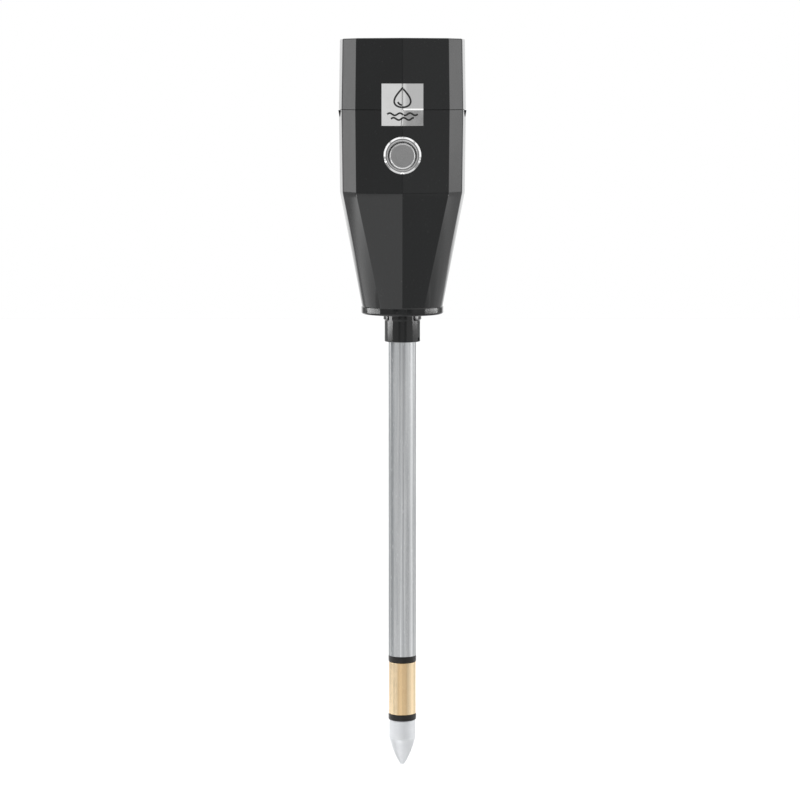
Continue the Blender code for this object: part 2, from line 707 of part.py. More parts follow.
def build_probe():
    tip_shoulder = 11.2
    bore = TUBE_RADIUS - TUBE_WALL
    spigot = bore - GAP
    sleeve_radius = 2.6
    clearance = ROD_RADIUS + GAP
    flank = arc_between((TIP_RADIUS, tip_shoulder), (0.95, 0.4), 0.5, 5)
    nose = arc_between((0.95, 0.4), (0, 0), 0.15, 2)
    tip = [(0, 8.0), (clearance, 8.0), (clearance, 16.2), (bore, 16.2), (bore, TIP_LENGTH - 0.1)]
    tip += [(TIP_RADIUS - 0.15, TIP_LENGTH - 0.1), (TIP_RADIUS, TIP_LENGTH - 0.25)] + flank + nose[1:]
    make_object("tip_electrode", turned(tip, 28), "pale_metal")

    lower_top = TIP_LENGTH + RING_THICKNESS
    lower = [(sleeve_radius + GAP, 16.5), (spigot, 16.5), (spigot, TIP_LENGTH + 0.1)]
    lower += flange(RING_RADIUS, TIP_LENGTH + 0.1, lower_top - 0.1)
    lower += [(spigot, lower_top - 0.1), (spigot, lower_top + 5), (sleeve_radius + GAP, lower_top + 5)]
    make_object("lower_insulator_ring", turned(lower, 28), "black_matte")

    brass_top = lower_top + BRASS_LENGTH
    brass = [(bore, lower_top + 0.1), (BRASS_RADIUS, lower_top + 0.1), (BRASS_RADIUS, brass_top - 0.1)]
    brass += [(bore, brass_top - 0.1)]
    make_object("brass_electrode", turned(brass, 32), "brass")

    tube_bottom = brass_top + RING_THICKNESS
    upper = [(sleeve_radius + GAP, brass_top - 5), (spigot, brass_top - 5), (spigot, brass_top + 0.1)]
    upper += flange(RING_RADIUS, brass_top + 0.1, tube_bottom - 0.1)
    upper += [(spigot, tube_bottom - 0.1), (spigot, tube_bottom + 6), (sleeve_radius + GAP, tube_bottom + 6)]
    ring = make_object("upper_insulator_ring", turned(upper, 28), "black_matte")
    lead_x = 3.55
    cut(ring, cylinder(0.8, brass_top - 6, tube_bottom + 7, 12, (lead_x, 0)))

    tube_top = 201.0
    make_object("probe_tube", tube(TUBE_RADIUS, bore, tube_bottom + 0.1, tube_top, 36), "drawn_metal")
    make_object("rod_sleeve", tube(sleeve_radius, clearance, 19.3, 193.6, 16), "nylon")
    make_object("tie_rod", cylinder(ROD_RADIUS, 8.4, 210.0, 16), "steel")

    plug_bottom = tube_top + 1.1
    plug_top = plug_bottom + 2.0
    plug = [(clearance, 194.0), (spigot, 194.0), (spigot, plug_bottom), (TUBE_RADIUS, plug_bottom)]
    plug += [(TUBE_RADIUS, plug_top), (clearance, plug_top)]
    end_plug = make_object("tube_plug", turned(plug, 24), "black_matte")
    cut(end_plug, cylinder(0.8, 193, plug_top + 1, 12, (lead_x, 0)))
    make_tag("tube_tag", TUBE_RADIUS - 0.1, bore, 9.5, tube_top + 0.3, math.pi / 2)
    make_tag("tip_tag", 2.6, clearance, 7.0, plug_top + 0.3, math.pi)
    make_object("rod_washer", tube(2.6, clearance, plug_top + 1.1, plug_top + 1.6, 20), "steel")
    make_object("rod_nut", hex_nut(5.5, clearance, plug_top + 1.9, plug_top + 4.3), "steel")
    return lead_x, tube_top, plug_top


def flange(radius, bottom, top):
    """Outline of a ring's rim, with its two outer edges broken."""
    edge = 0.15
    rim = [(radius - edge, bottom), (radius, bottom + edge)]
    return rim + [(radius, top - edge), (radius - edge, top)]


def make_tag(name, radius, bore, reach, bottom, direction):
    """Solder tag: a flat ring with one lug."""
    half = 1.0
    opening = math.asin(half / radius)
    outline = []
    for step in range(21):
        angle = direction + opening + (2 * math.pi - 2 * opening) * step / 20
        outline.append((radius * math.cos(angle), radius * math.sin(angle)))
    for side in (-1, 1):
        x = reach * math.cos(direction) - side * half * math.sin(direction)
        y = reach * math.sin(direction) + side * half * math.cos(direction)
        outline.append((x, y))
    tag = make_object(name, plate(outline, bottom, bottom + 0.5), "brass")
    cut(tag, cylinder(bore, bottom - 1, bottom + 1, 20))


def spoke(direction, radius, width, depth, bottom, top):
    """Block set square to a direction from the front, reaching in from outside the radius by the depth."""
    out = on_plan(direction, 1.0)
    outline = []
    for reach, across in ((-depth, -0.5), (1.0, -0.5), (1.0, 0.5), (-depth, 0.5)):
        distance = radius + reach
        shift = across * width
        outline.append((out[0] * distance - out[1] * shift, out[1] * distance + out[0] * shift))
    return plate(outline, bottom, top)


def build_collar():
    lip_top = HEAD_BOTTOM - GAP
    lip_bottom = lip_top - 2.2
    lip_radius = 7.7
    foot_radius = 7.15
    spigot = 6.9
    bore = TUBE_RADIUS + GAP
    outline = [(bore, COLLAR_BOTTOM), (foot_radius - 0.3, COLLAR_BOTTOM)]
    outline += [(foot_radius, COLLAR_BOTTOM + 0.3), (lip_radius - 0.3, lip_bottom)]
    outline += [(lip_radius, lip_bottom + 0.2), (lip_radius, lip_top), (spigot, lip_top)]
    outline += [(spigot, 198.0), (bore, 198.0)]
    collar = make_object("probe_collar", turned(outline, 28), "black_gloss")
    slots = [spoke(66, foot_radius, 1.5, 0.6, COLLAR_BOTTOM - 1, COLLAR_BOTTOM + 1.8)]
    for direction, width in ((-42, 2.4), (36, 1.3)):
        slots.append(spoke(direction, lip_radius, width, 0.55, lip_bottom - 0.2, lip_top + 0.2))
    cut(collar, *slots)


# Board and wires --------------------------------------------------------------------------------


def build_board():
    """Small board soldered to the switch's terminals, with the resistor that sets the meter's range."""
    front = BUTTON_FACE_Y + 22.0
    back = front + 1.2
    low, high = 237.0, 261.0
    board = make_object("circuit_board", block((-10, front, low), (10, back, high)), "board_green")
    slots = []
    for side in (-1, 1):
        x = side * TERMINAL_OFFSET
        low_corner = (x - 0.6, front - 1, BUTTON_HEIGHT - 1)
        slots.append(block(low_corner, (x + 0.6, back + 1, BUTTON_HEIGHT + 1)))
    cut(board, *slots)
    outline = [(0, -5.5), (0.3, -5.5), (0.3, -3.2), (1.1, -2.9), (1.2, -1.8), (1.0, -1.4)]
    outline += [(radius, -height) for radius, height in reversed(outline)]
    resistor = turned(outline, 12)
    across = Matrix.Rotation(math.pi / 2, 3, "Y")
    bmesh.ops.rotate(resistor, verts=resistor.verts, cent=(0, 0, 0), matrix=across)
    bmesh.ops.translate(resistor, verts=resistor.verts, vec=(0, back + 1.5, 257.5))
    make_object("range_resistor", resistor, "resistor_tan")
    return back


def build_wires(board_back, lead_x, tube_top, plug_top):
    pad_y = board_back + GAP
    for colour, side in (("red", 1), ("black", -1)):
        x = side * 8.0
        path = [(x, -2.0, 268.0), (x, 1.5, 266.0), (x, 3.0, 260.0), (x, 2.0, 254.5), (x, pad_y, 254.5)]
        make_wire(f"meter_wire_{colour}", path, 0.55, f"wire_{colour}")
    tip_path = [(-6.2, 0, plug_top + 1.1), (-6.2, 0, 216.0), (-8, 3, 226.0), (-6, 3, 240.0)]
    tip_path.append((-6, pad_y, 240.0))
    make_wire("tip_wire", tip_path, 0.55, "wire_black")
    tube_path = [(0, 8.6, tube_top + 1.1), (0, 8.6, 212.0), (0, 7, 226.0), (0, 3, 240.0)]
    tube_path.append((0, pad_y, 240.0))
    make_wire("tube_wire", tube_path, 0.55, "wire_yellow")
    ring_path = [(lead_x, 0, 29.0), (lead_x, 0, 120.0), (lead_x, 0, 206.0), (lead_x, 0, 210.0)]
    ring_path += [(6, 2, 218.0), (7, 4, 230.0), (6, 3, 240.0), (6, pad_y, 240.0)]
    make_wire("ring_wire", ring_path, 0.5, "wire_red")


def build_meter():
    clear_scene()
    build_lower_housing()
    build_upper_housing()
    build_foil_label()
    dial_screws = build_dial()
    frame_bottom = build_movement_frame(dial_screws)
    middle = build_magnet_system(frame_bottom)
    deck = build_upper_bridge(DIAL_TOP - 0.9)
    lower_bottom = build_lower_bridge()
    build_pivot_screws(deck, lower_bottom)
    build_hairsprings(deck)
    build_zero_arm(deck)
    build_stop_pins()
    build_moving_coil(middle, deck, lower_bottom)
    build_button()
    lead_x, tube_top, plug_top = build_probe()
    build_collar()
    board_back = build_board()
    build_wires(board_back, lead_x, tube_top, plug_top)


build_meter()
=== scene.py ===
"""Looks of the soil moisture meter: finer meshes for the pieces that show, a procedural material for
every piece, and the studio. Lengths in the code are metres, and MM turns a size in millimetres."""

import json
import math

import bmesh
import bpy
from mathutils import Matrix, Vector, noise


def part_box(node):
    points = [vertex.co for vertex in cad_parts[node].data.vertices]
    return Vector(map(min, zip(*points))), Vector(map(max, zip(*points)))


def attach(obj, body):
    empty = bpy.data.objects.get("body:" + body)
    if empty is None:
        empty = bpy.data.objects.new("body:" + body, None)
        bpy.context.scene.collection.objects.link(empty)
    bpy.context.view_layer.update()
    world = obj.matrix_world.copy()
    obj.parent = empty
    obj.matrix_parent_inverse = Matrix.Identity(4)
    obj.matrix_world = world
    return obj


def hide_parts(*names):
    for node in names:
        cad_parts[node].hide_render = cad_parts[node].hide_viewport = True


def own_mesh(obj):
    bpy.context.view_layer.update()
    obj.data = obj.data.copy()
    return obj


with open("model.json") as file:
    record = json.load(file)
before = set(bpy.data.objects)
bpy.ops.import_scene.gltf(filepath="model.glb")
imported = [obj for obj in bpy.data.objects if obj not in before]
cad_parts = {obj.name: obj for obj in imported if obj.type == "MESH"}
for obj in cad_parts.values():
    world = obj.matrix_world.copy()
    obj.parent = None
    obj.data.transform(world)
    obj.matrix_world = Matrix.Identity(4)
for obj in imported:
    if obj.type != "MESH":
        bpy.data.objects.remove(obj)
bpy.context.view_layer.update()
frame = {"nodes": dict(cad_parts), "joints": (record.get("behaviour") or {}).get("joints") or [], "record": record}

MM = 0.001

# The head's design values, which the CAD solids share. At their foot the tongue and its pocket come
# closer to the skin than the CAD's, so that no daylight shows through the seam.
TOP_SCALE = 0.981
SHOULDER_SCALE = 0.985
INNER_SCALE = 0.91
TONGUE_SCALE = 0.955
TONGUE_FOOT_SCALE = 0.986
POCKET_SCALE = 0.968
POCKET_FOOT_SCALE = 0.981
SHOULDER = 233.9 * MM
BAND_HEIGHT = 3.2 * MM
BAND_RADIUS = 16.6 * MM
TAPER_FOOT_RADIUS = 16.35 * MM
# For each corner of the plan's first quarter: its direction from the front in degrees, the direction
# its edge has swung to at the taper's foot, and how far the edge is rounded
QUARTER_DIRECTIONS = (0.0, 45.0, 71.5, 90.0)
FOOT_DIRECTIONS = (0.0, 32.0, 62.0, 90.0)
EDGE_ROUNDING = (0.35 * MM, 0.5 * MM, 5.0 * MM, 2.5 * MM)

POINTER_SWING = 90.0


# Meshes -----------------------------------------------------------------------------------------


def bridged(rings, closed):
    """Skins a row of rings with the same number of points. A ring of one point is a pole.
    A closed row joins its last ring to its first, for a solid with a hole through it."""
    bm = bmesh.new()
    rows = [[bm.verts.new(point) for point in ring] for ring in rings]
    pairs = list(zip(rows, rows[1:]))
    if closed:
        pairs.append((rows[-1], rows[0]))
    for first, second in pairs:
        count = max(len(first), len(second))
        for step in range(count):
            after = (step + 1) % count
            if len(first) == 1:
                corners = (first[0], second[step], second[after])
            elif len(second) == 1:
                corners = (first[step], first[after], second[0])
            else:
                corners = (first[step], first[after], second[after], second[step])
            bm.faces.new(corners)
    return bm


def turned(outline, steps=96, swell=None):
    """Solid of revolution about Z from (radius, height) points, from axis to axis or in a closed ring.
    swell(angle, height) adds to the radius, for a surface that isn't quite round."""
    rings = []
    for radius, height in outline:
        if radius < 1e-9:
            rings.append([(0, 0, height)])
            continue
        ring = []
        for step in range(steps):
            angle = 2 * math.pi * step / steps
            reach = radius + (swell(angle, height) if swell else 0)
            ring.append((reach * math.cos(angle), reach * math.sin(angle), height))
        rings.append(ring)
    return bridged(rings, closed=outline[0][0] > 1e-9)


def softened(outline, radius, steps=4):
    """Rounds each corner of a (radius, height) outline. An outline that starts on the axis stays open."""
    count = len(outline)
    is_open = outline[0][0] < 1e-9
    points = []
    for index, corner in enumerate(outline):
        if is_open and index in (0, count - 1):
            points.append(corner)
            continue
        here = Vector(corner)
        back = Vector(outline[index - 1]) - here
        ahead = Vector(outline[(index + 1) % count]) - here
        turn = math.pi - back.angle(ahead)
        reach = min(radius * math.tan(turn / 2), back.length * 0.45, ahead.length * 0.45)
        if turn < math.radians(4):
            points.append(corner)
            continue
        start = here + back.normalized() * reach
        end = here + ahead.normalized() * reach
        for step in range(steps + 1):
            share = step / steps
            middle = start.lerp(here, share).lerp(here.lerp(end, share), share)
            points.append((middle.x, middle.y))
    return points


def prism(outline, bottom, top):
    """Extrudes a plan outline of (x, y) points between two heights."""
    bm = bmesh.new()
    lower = [bm.verts.new((x, y, bottom)) for x, y in outline]
    upper = [bm.verts.new((x, y, top)) for x, y in outline]
    bm.faces.new(lower)
    bm.faces.new(upper)
    count = len(outline)
    for step in range(count):
        after = (step + 1) % count
        bm.faces.new((lower[step], lower[after], upper[after], upper[step]))
    return bm


def facing_back(bm, location):
    """Turns a solid built up Z so that it runs along +Y from the given point."""
    bmesh.ops.rotate(bm, verts=bm.verts, cent=(0, 0, 0), matrix=Matrix.Rotation(-math.pi / 2, 3, "X"))
    bmesh.ops.translate(bm, verts=bm.verts, vec=location)
    return bm


def moved(bm, offset):
    bmesh.ops.translate(bm, verts=bm.verts, vec=offset)
    return bm


def mesh_object(name, bm):
    bmesh.ops.recalc_face_normals(bm, faces=bm.faces)
    mesh = bpy.data.meshes.new(name)
    bm.to_mesh(mesh)
    bm.free()
    piece = bpy.data.objects.new(name, mesh)
    bpy.context.collection.objects.link(piece)
    return piece


def carved(piece, *tools):
    """Cuts solids out of a piece and keeps the result as its mesh."""
    cutters = []
    for tool in tools:
        cutter = mesh_object("cutter", tool)
        boolean = piece.modifiers.new("cut", "BOOLEAN")
        boolean.operation = "DIFFERENCE"
        boolean.solver = "EXACT"
        boolean.object = cutter
        cutters.append(cutter)
    keep_modifiers(piece)
    for cutter in cutters:
        bpy.data.objects.remove(cutter, do_unlink=True)
    return piece


def joined(piece, tool):
    addition = mesh_object("addition", tool)
    boolean = piece.modifiers.new("join", "BOOLEAN")
    boolean.operation = "UNION"
    boolean.solver = "EXACT"
    boolean.object = addition
    keep_modifiers(piece)
    bpy.data.objects.remove(addition, do_unlink=True)
    return piece


def keep_modifiers(piece):
    """Applies the piece's modifiers."""
    depsgraph = bpy.context.evaluated_depsgraph_get()
    mesh = bpy.data.meshes.new_from_object(piece.evaluated_get(depsgraph))
    piece.modifiers.clear()
    piece.data = mesh


def finished(piece, body, slot_name, stands_for=(), sharp=32, material=None):
    """Shades a piece, gives it its slot's material or another, and puts it on its body."""
    piece.data.shade_smooth()
    piece.data.set_sharp_from_angle(angle=math.radians(sharp))
    weighted = piece.modifiers.new("even_shading", "WEIGHTED_NORMAL")
    weighted.keep_sharp = True
    piece.data.materials.clear()
    piece.data.materials.append(material or MATERIALS[slot_name])
    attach(piece, body)
    if stands_for:
        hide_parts(*stands_for)
    return piece


# Materials --------------------------------------------------------------------------------------


class Shader:
    """A material whose node tree is built a node at a time."""

    def __init__(self, name):
        self.material = bpy.data.materials.new(name)
        self.material.use_nodes = True
        self.tree = self.material.node_tree
        self.body = self.tree.nodes["Principled BSDF"]
        self.place = self.node("ShaderNodeTexCoord").outputs["Object"]

    def node(self, kind, inputs=None, **settings):
        node = self.tree.nodes.new(kind)
        for key, value in settings.items():
            setattr(node, key, value)
        for key, value in (inputs or {}).items():
            self.feed(node.inputs[key], value)
        return node

    def feed(self, socket, value):
        if isinstance(value, bpy.types.NodeSocket):
            self.tree.links.new(value, socket)
        elif hasattr(value, "__len__") and len(value) == 3 and socket.type == "RGBA":
            socket.default_value = (*value, 1.0)
        else:
            socket.default_value = value

    def set(self, **inputs):
        names = {"colour": "Base Color", "roughness": "Roughness", "metallic": "Metallic"}
        names |= {"normal": "Normal", "specular": "Specular IOR Level", "edge_tint": "Specular Tint"}
        for key, value in inputs.items():
            self.feed(self.body.inputs[names[key]], value)
        return self.material

    def grain(self, size, detail=3.0, stretch=(1, 1, 1), rough=0.5, place=None):
        """Noise from 0 to 1 whose spots are about the given size in metres."""
        scale = [share / size for share in stretch]
        where = self.node("ShaderNodeMapping", {"Vector": place or self.place, "Scale": scale}).outputs[0]
        inputs = {"Vector": where, "Scale": 1.0, "Detail": detail, "Roughness": rough}
        return self.node("ShaderNodeTexNoise", inputs).outputs["Fac"]

    def span(self, value, low, high, start=0.0, end=1.0, smooth=False):
        """Maps low..high onto start..end, held at both ends."""
        kind = "SMOOTHSTEP" if smooth else "LINEAR"
        inputs = {"Value": value, "From Min": low, "From Max": high, "To Min": start, "To Max": end}
        return self.node("ShaderNodeMapRange", inputs, interpolation_type=kind).outputs["Result"]

    def mix(self, share, first, second):
        node = self.node("ShaderNodeMix", data_type="RGBA")
        sockets = [socket for socket in node.inputs if socket.enabled]
        for socket, value in zip(sockets, (share, first, second)):
            self.feed(socket, value)
        return next(socket for socket in node.outputs if socket.enabled)

    def calc(self, operation, first, second=0.0):
        return self.node("ShaderNodeMath", {0: first, 1: second}, operation=operation).outputs[0]

    def bump(self, height, depth, normal=None):
        inputs = {"Height": height, "Distance": depth, "Strength": 1.0}
        if normal is not None:
            inputs["Normal"] = normal
        return self.node("ShaderNodeBump", inputs).outputs["Normal"]

    def stripe(self, value, middle, half, soft):
        """1 within half of the middle value, falling smoothly to 0 over the soft margin."""
        off = self.calc("ABSOLUTE", self.calc("SUBTRACT", value, middle))
        return self.span(off, half, half + soft, 1.0, 0.0, True)

    def edges(self, radius):
        """About 1 along sharp edges within the radius and 0 elsewhere."""
        rounded = self.node("ShaderNodeBevel", {"Radius": radius}, samples=4).outputs[0]
        plain = self.node("ShaderNodeNewGeometry").outputs["Normal"]
        both = self.node("ShaderNodeVectorMath", {0: rounded, 1: plain}, operation="DOT_PRODUCT")
        return self.span(both.outputs["Value"], 0.995, 0.93)

    def parts(self):
        """The point's X, Y and Z."""
        return self.node("ShaderNodeSeparateXYZ", {"Vector": self.place}).outputs

    def bearing(self):
        """The point's angle about Z, from -pi to pi with 0 at the front."""
        parts = self.parts()
        return self.calc("ARCTAN2", parts["X"], self.calc("MULTIPLY", parts["Y"], -1.0))


def shade(colour, factor):
    return tuple(min(1.0, channel * factor) for channel in colour)


def moulded_plastic(name, colour, roughness, texture=12e-6, dust=0.5, specular=0.42):
    """Injection-moulded plastic: faint flow marks, a fine skin, hairline scratches and some dust."""
    s = Shader(name)
    flow = s.grain(22 * MM, 2.0, (1, 1, 0.4))
    skin = s.grain(0.35 * MM, 4.0)
    hair = s.grain(0.25 * MM, 2.0, (1, 1, 0.035), 0.7)
    smear = s.grain(5 * MM, 3.0, (1, 1, 0.5))
    specks = s.span(s.grain(0.45 * MM, 1.0), 0.73, 0.80)
    worn = s.edges(0.2 * MM)
    base = s.mix(s.span(flow, 0.35, 0.65), shade(colour, 0.85), shade(colour, 1.2))
    base = s.mix(s.calc("MULTIPLY", specks, 0.35 * dust), base, (0.32, 0.32, 0.31))
    base = s.mix(s.calc("MULTIPLY", worn, 0.04), base, (0.16, 0.165, 0.165))
    gloss = s.span(smear, 0.35, 0.7, roughness * 0.9, roughness * 1.15)
    gloss = s.calc("ADD", gloss, s.span(hair, 0.62, 0.72, 0.0, 0.07))
    gloss = s.calc("ADD", gloss, s.calc("MULTIPLY", specks, 0.2))
    normal = s.bump(skin, texture)
    normal = s.bump(flow, 0.10 * MM, normal)
    return s.set(colour=base, roughness=gloss, normal=normal, specular=specular)


def turned_metal(name, colour, roughness, tarnish, depth, metallic=1.0, polished=None):
    """Metal turned on a lathe: fine rings along Z, a little tarnish, and bright edges. A painted highlight colour
    shows on two bands to either side of the front, where the side lights would reflect."""
    s = Shader(name)
    rings = s.grain(0.12 * MM, 3.0, (0.02, 0.02, 1.0), 0.6)
    cloud = s.grain(4 * MM, 4.0)
    spots = s.span(s.grain(0.5 * MM, 2.0), 0.66, 0.76)
    worn = s.edges(0.25 * MM)
    base = s.mix(s.span(cloud, 0.35, 0.7, 0.0, 0.6), colour, tarnish)
    base = s.mix(s.span(rings, 0.3, 0.7, 0.0, 0.25), base, shade(colour, 0.8))
    base = s.mix(s.calc("MULTIPLY", spots, 0.12), base, shade(tarnish, 0.7))
    base = s.mix(s.calc("MULTIPLY", worn, 0.6), base, shade(colour, 1.15))
    if polished:
        # Painted highlight: two bright bands at fixed bearings either side of the front.
        painted_highlight_bands = s.stripe(s.calc("ABSOLUTE", s.bearing()), 0.8, 0.3, 0.25)
        base = s.mix(s.calc("MULTIPLY", painted_highlight_bands, 0.9), base, polished)
    gloss = s.span(cloud, 0.3, 0.7, roughness * 0.85, roughness * 1.3)
    gloss = s.calc("ADD", gloss, s.calc("MULTIPLY", spots, 0.15))
    normal = s.bump(rings, depth)
    return s.set(colour=base, roughness=gloss, metallic=metallic, normal=normal)


def drawn_tube(name):
    """Drawn metal tube: long streaks along Z, mottled bands of coarse grain and small bright nicks. At fixed
    bearings it also carries painted reflection: dark lines, a bright painted highlight line, and painted shade
    over the rough mottled band on the left.
    """
    s = Shader(name)
    angle = s.bearing()
    streak = s.grain(0.45 * MM, 4.0, (1, 1, 0.012), 0.65)
    fine = s.grain(0.16 * MM, 3.0, (1, 1, 0.03), 0.6)
    mottle = s.grain(0.8 * MM, 4.0, (1, 1, 0.45), 0.7)
    drift = s.grain(9 * MM, 2.0, (1, 1, 0.25))
    nicks = s.span(s.grain(0.55 * MM, 1.0, (1, 1, 0.3)), 0.68, 0.76)
    # Band on the left: a real rough, mottled patch that is also darkened with painted shade.
    grainy_shaded_band = s.stripe(angle, -0.82, 0.06, 0.14)
    base = s.mix(s.span(streak, 0.35, 0.65), (0.60, 0.615, 0.63), (0.76, 0.77, 0.78))
    base = s.mix(s.span(drift, 0.35, 0.65, 0.0, 0.3), base, (0.52, 0.54, 0.55))
    base = s.mix(s.calc("MULTIPLY", grainy_shaded_band, 0.9), base, (0.36, 0.375, 0.385))
    rough_patch = s.calc("MULTIPLY", grainy_shaded_band, s.span(mottle, 0.42, 0.62))
    base = s.mix(s.calc("MULTIPLY", rough_patch, 0.5), base, (0.28, 0.30, 0.31))
    # Dark lines of painted reflection at fixed bearings; the one at the front stands for the camera's dark
    # reflection.
    painted_reflection_lines = ((0.05, 0.015, 0.05, 0.5), (-0.22, 0.02, 0.05, 0.2), (0.92, 0.03, 0.08, 0.35))
    for middle, half, soft, share in painted_reflection_lines:
        line = s.stripe(angle, middle, half, soft)
        base = s.mix(s.calc("MULTIPLY", line, share), base, (0.34, 0.35, 0.36))
    # Painted highlight: a bright line on the right side of the tube.
    base = s.mix(s.calc("MULTIPLY", s.stripe(angle, 0.68, 0.03, 0.07), 0.4), base, (0.93, 0.94, 0.95))
    base = s.mix(s.calc("MULTIPLY", nicks, 0.5), base, (0.88, 0.89, 0.9))
    gloss = s.span(mottle, 0.3, 0.7, 0.15, 0.21)
    gloss = s.calc("ADD", gloss, s.calc("MULTIPLY", grainy_shaded_band, 0.05))
    normal = s.bump(streak, 7e-6)
    normal = s.bump(fine, 1.5e-6, normal)
    normal = s.bump(s.calc("MULTIPLY", mottle, grainy_shaded_band), 14e-6, normal)
    return s.set(colour=base, roughness=gloss, metallic=1.0, normal=normal, edge_tint=(0.8, 0.8, 0.8))


def brushed_chrome(name, colour, roughness, face=1.0, line=1.0):
    """Metal with fine rings round the button's axis, which runs along Y. Outside the radius of its face it has a
    brighter, glossier finish, and at the line's radius a dark ring of painted shade stands for a groove that the
    mesh lacks. A radius of 1 m means none."""
    s = Shader(name)
    parts = s.parts()
    lift = s.calc("SUBTRACT", parts["Z"], BUTTON_HEIGHT)
    reach = s.calc("SQRT", s.calc("ADD", s.calc("POWER", parts["X"], 2.0), s.calc("POWER", lift, 2.0)))
    where = s.node("ShaderNodeCombineXYZ", {"X": reach, "Y": s.calc("MULTIPLY", parts["X"], 0.02)})
    rings = s.grain(0.1 * MM, 2.0, place=where.outputs[0])
    cloud = s.grain(2.2 * MM, 3.0)
    scratch = s.span(s.grain(0.5 * MM, 2.0, (1, 1, 0.06), 0.7), 0.66, 0.72)
    base = s.mix(s.span(rings, 0.3, 0.7), shade(colour, 0.88), shade(colour, 1.08))
    base = s.mix(s.span(cloud, 0.4, 0.7, 0.0, 0.3), base, shade(colour, 0.8))
    gloss = s.span(cloud, 0.3, 0.7, roughness * 0.85, roughness * 1.2)
    gloss = s.calc("ADD", gloss, s.calc("MULTIPLY", scratch, 0.12))
    rim = s.span(reach, face, face + 0.05 * MM)
    base = s.mix(rim, base, (0.85, 0.85, 0.85))
    # Painted shade: a dark ring at the line's radius, standing for the shade of a groove.
    painted_groove_shade = s.stripe(reach, line, 0.1 * MM, 0.1 * MM)
    base = s.mix(s.calc("MULTIPLY", painted_groove_shade, 0.75), base, (0.16, 0.16, 0.16))
    gloss = s.calc("SUBTRACT", gloss, s.calc("MULTIPLY", rim, 0.15))
    return s.set(colour=base, roughness=gloss, metallic=1.0, normal=s.bump(rings, 2e-6))


def silver_foil(name):
    """Metallised label film: bright and smooth, with faint rolling lines and handling marks. Its right half, on
    the right flat, is darkened with painted shade, except for the edge that stands up at the seam."""
    s = Shader(name)
    roll = s.grain(0.3 * MM, 3.0, (1, 1, 0.02))
    cloud = s.grain(3 * MM, 3.0)
    marks = s.span(s.grain(0.7 * MM, 3.0), 0.62, 0.78)
    base = s.mix(s.span(cloud, 0.35, 0.65), (0.90, 0.90, 0.895), (0.94, 0.94, 0.935))
    base = s.mix(s.calc("MULTIPLY", marks, 0.12), base, (0.7, 0.7, 0.69))
    parts = s.parts()
    edge = s.stripe(parts["Z"], SEAM + 0.3 * MM, 0.25 * MM, 0.1 * MM)
    # Painted shade: the right half is darkened, but not the raised edge at the seam.
    painted_shade_right = s.calc("MULTIPLY", s.span(parts["X"], 0.0, 2 * MM), s.calc("SUBTRACT", 1.0, edge))
    base = s.mix(s.calc("MULTIPLY", painted_shade_right, 0.8), base, (0.5, 0.5, 0.5))
    gloss = s.span(cloud, 0.3, 0.7, 0.10, 0.15)
    normal = s.bump(roll, 0.6e-6)
    normal = s.bump(cloud, 8e-6, normal)
    return s.set(colour=base, roughness=gloss, metallic=1.0, normal=normal)


def printed(name, colour, roughness=0.45):
    """Screen-printed ink, slightly uneven in density."""
    s = Shader(name)
    density = s.grain(0.4 * MM, 3.0)
    pinholes = s.span(s.grain(0.15 * MM, 1.0), 0.7, 0.78)
    base = s.mix(s.span(density, 0.3, 0.7), shade(colour, 0.85), shade(colour, 1.15))
    base = s.mix(s.calc("MULTIPLY", pinholes, 0.3), base, shade(colour, 1.6))
    gloss = s.span(density, 0.3, 0.7, roughness, roughness + 0.15)
    return s.set(colour=base, roughness=gloss, normal=s.bump(density, 4e-6))


def painted_dial(name):
    """Pale satin dial with a very fine brushing under the lacquer."""
    s = Shader(name)
    grain = s.grain(0.2 * MM, 3.0, (1, 0.03, 1))
    cloud = s.grain(6 * MM, 3.0)
    base = s.mix(s.span(grain, 0.3, 0.7), (0.76, 0.76, 0.735), (0.86, 0.86, 0.84))
    base = s.mix(s.span(cloud, 0.45, 0.75, 0.0, 0.4), base, (0.72, 0.71, 0.67))
    gloss = s.span(cloud, 0.3, 0.7, 0.38, 0.5)
    return s.set(colour=base, roughness=gloss, metallic=0.35, normal=s.bump(grain, 3e-6))


def clear_window(name):
    """Clear acrylic: what is behind it shows, with the surface's own reflection and some smears."""
    s = Shader(name)
    smears = s.span(s.grain(6 * MM, 4.0), 0.5, 0.75)
    fine = s.span(s.grain(0.4 * MM, 2.0, (0.05, 1, 1)), 0.68, 0.74)
    gloss = s.node("ShaderNodeBsdfGlossy", {"Color": (0.95, 0.96, 0.96)})
    rough = s.calc("ADD", s.span(smears, 0.0, 1.0, 0.03, 0.1), s.calc("MULTIPLY", fine, 0.1))
    s.feed(gloss.inputs["Roughness"], rough)
    through = s.node("ShaderNodeBsdfTransparent", {"Color": (0.965, 0.975, 0.975)})
    facing = s.node("ShaderNodeFresnel", {"IOR": 1.46}).outputs[0]
    leaving = s.node("ShaderNodeNewGeometry").outputs["Backfacing"]
    mirror = s.calc("MULTIPLY", facing, s.calc("SUBTRACT", 1.0, leaving))
    share = s.node("ShaderNodeMixShader", {0: mirror, 1: through.outputs[0], 2: gloss.outputs[0]})
    output = s.tree.nodes["Material Output"]
    s.tree.links.new(share.outputs[0], output.inputs["Surface"])
    return s.material


def wound_copper(name):
    """Enamelled wire wound in rows round the former."""
    s = Shader(name)
    rows = s.grain(0.12 * MM, 1.0, (0.04, 1.0, 0.04))
    cloud = s.grain(2 * MM, 3.0)
    base = s.mix(s.span(rows, 0.3, 0.7), (0.42, 0.13, 0.05), (0.85, 0.38, 0.2))
    base = s.mix(s.span(cloud, 0.4, 0.8, 0.0, 0.4), base, (0.5, 0.16, 0.07))
    gloss = s.span(rows, 0.3, 0.7, 0.22, 0.4)
    return s.set(colour=base, roughness=gloss, metallic=0.9, normal=s.bump(rows, 8e-6))


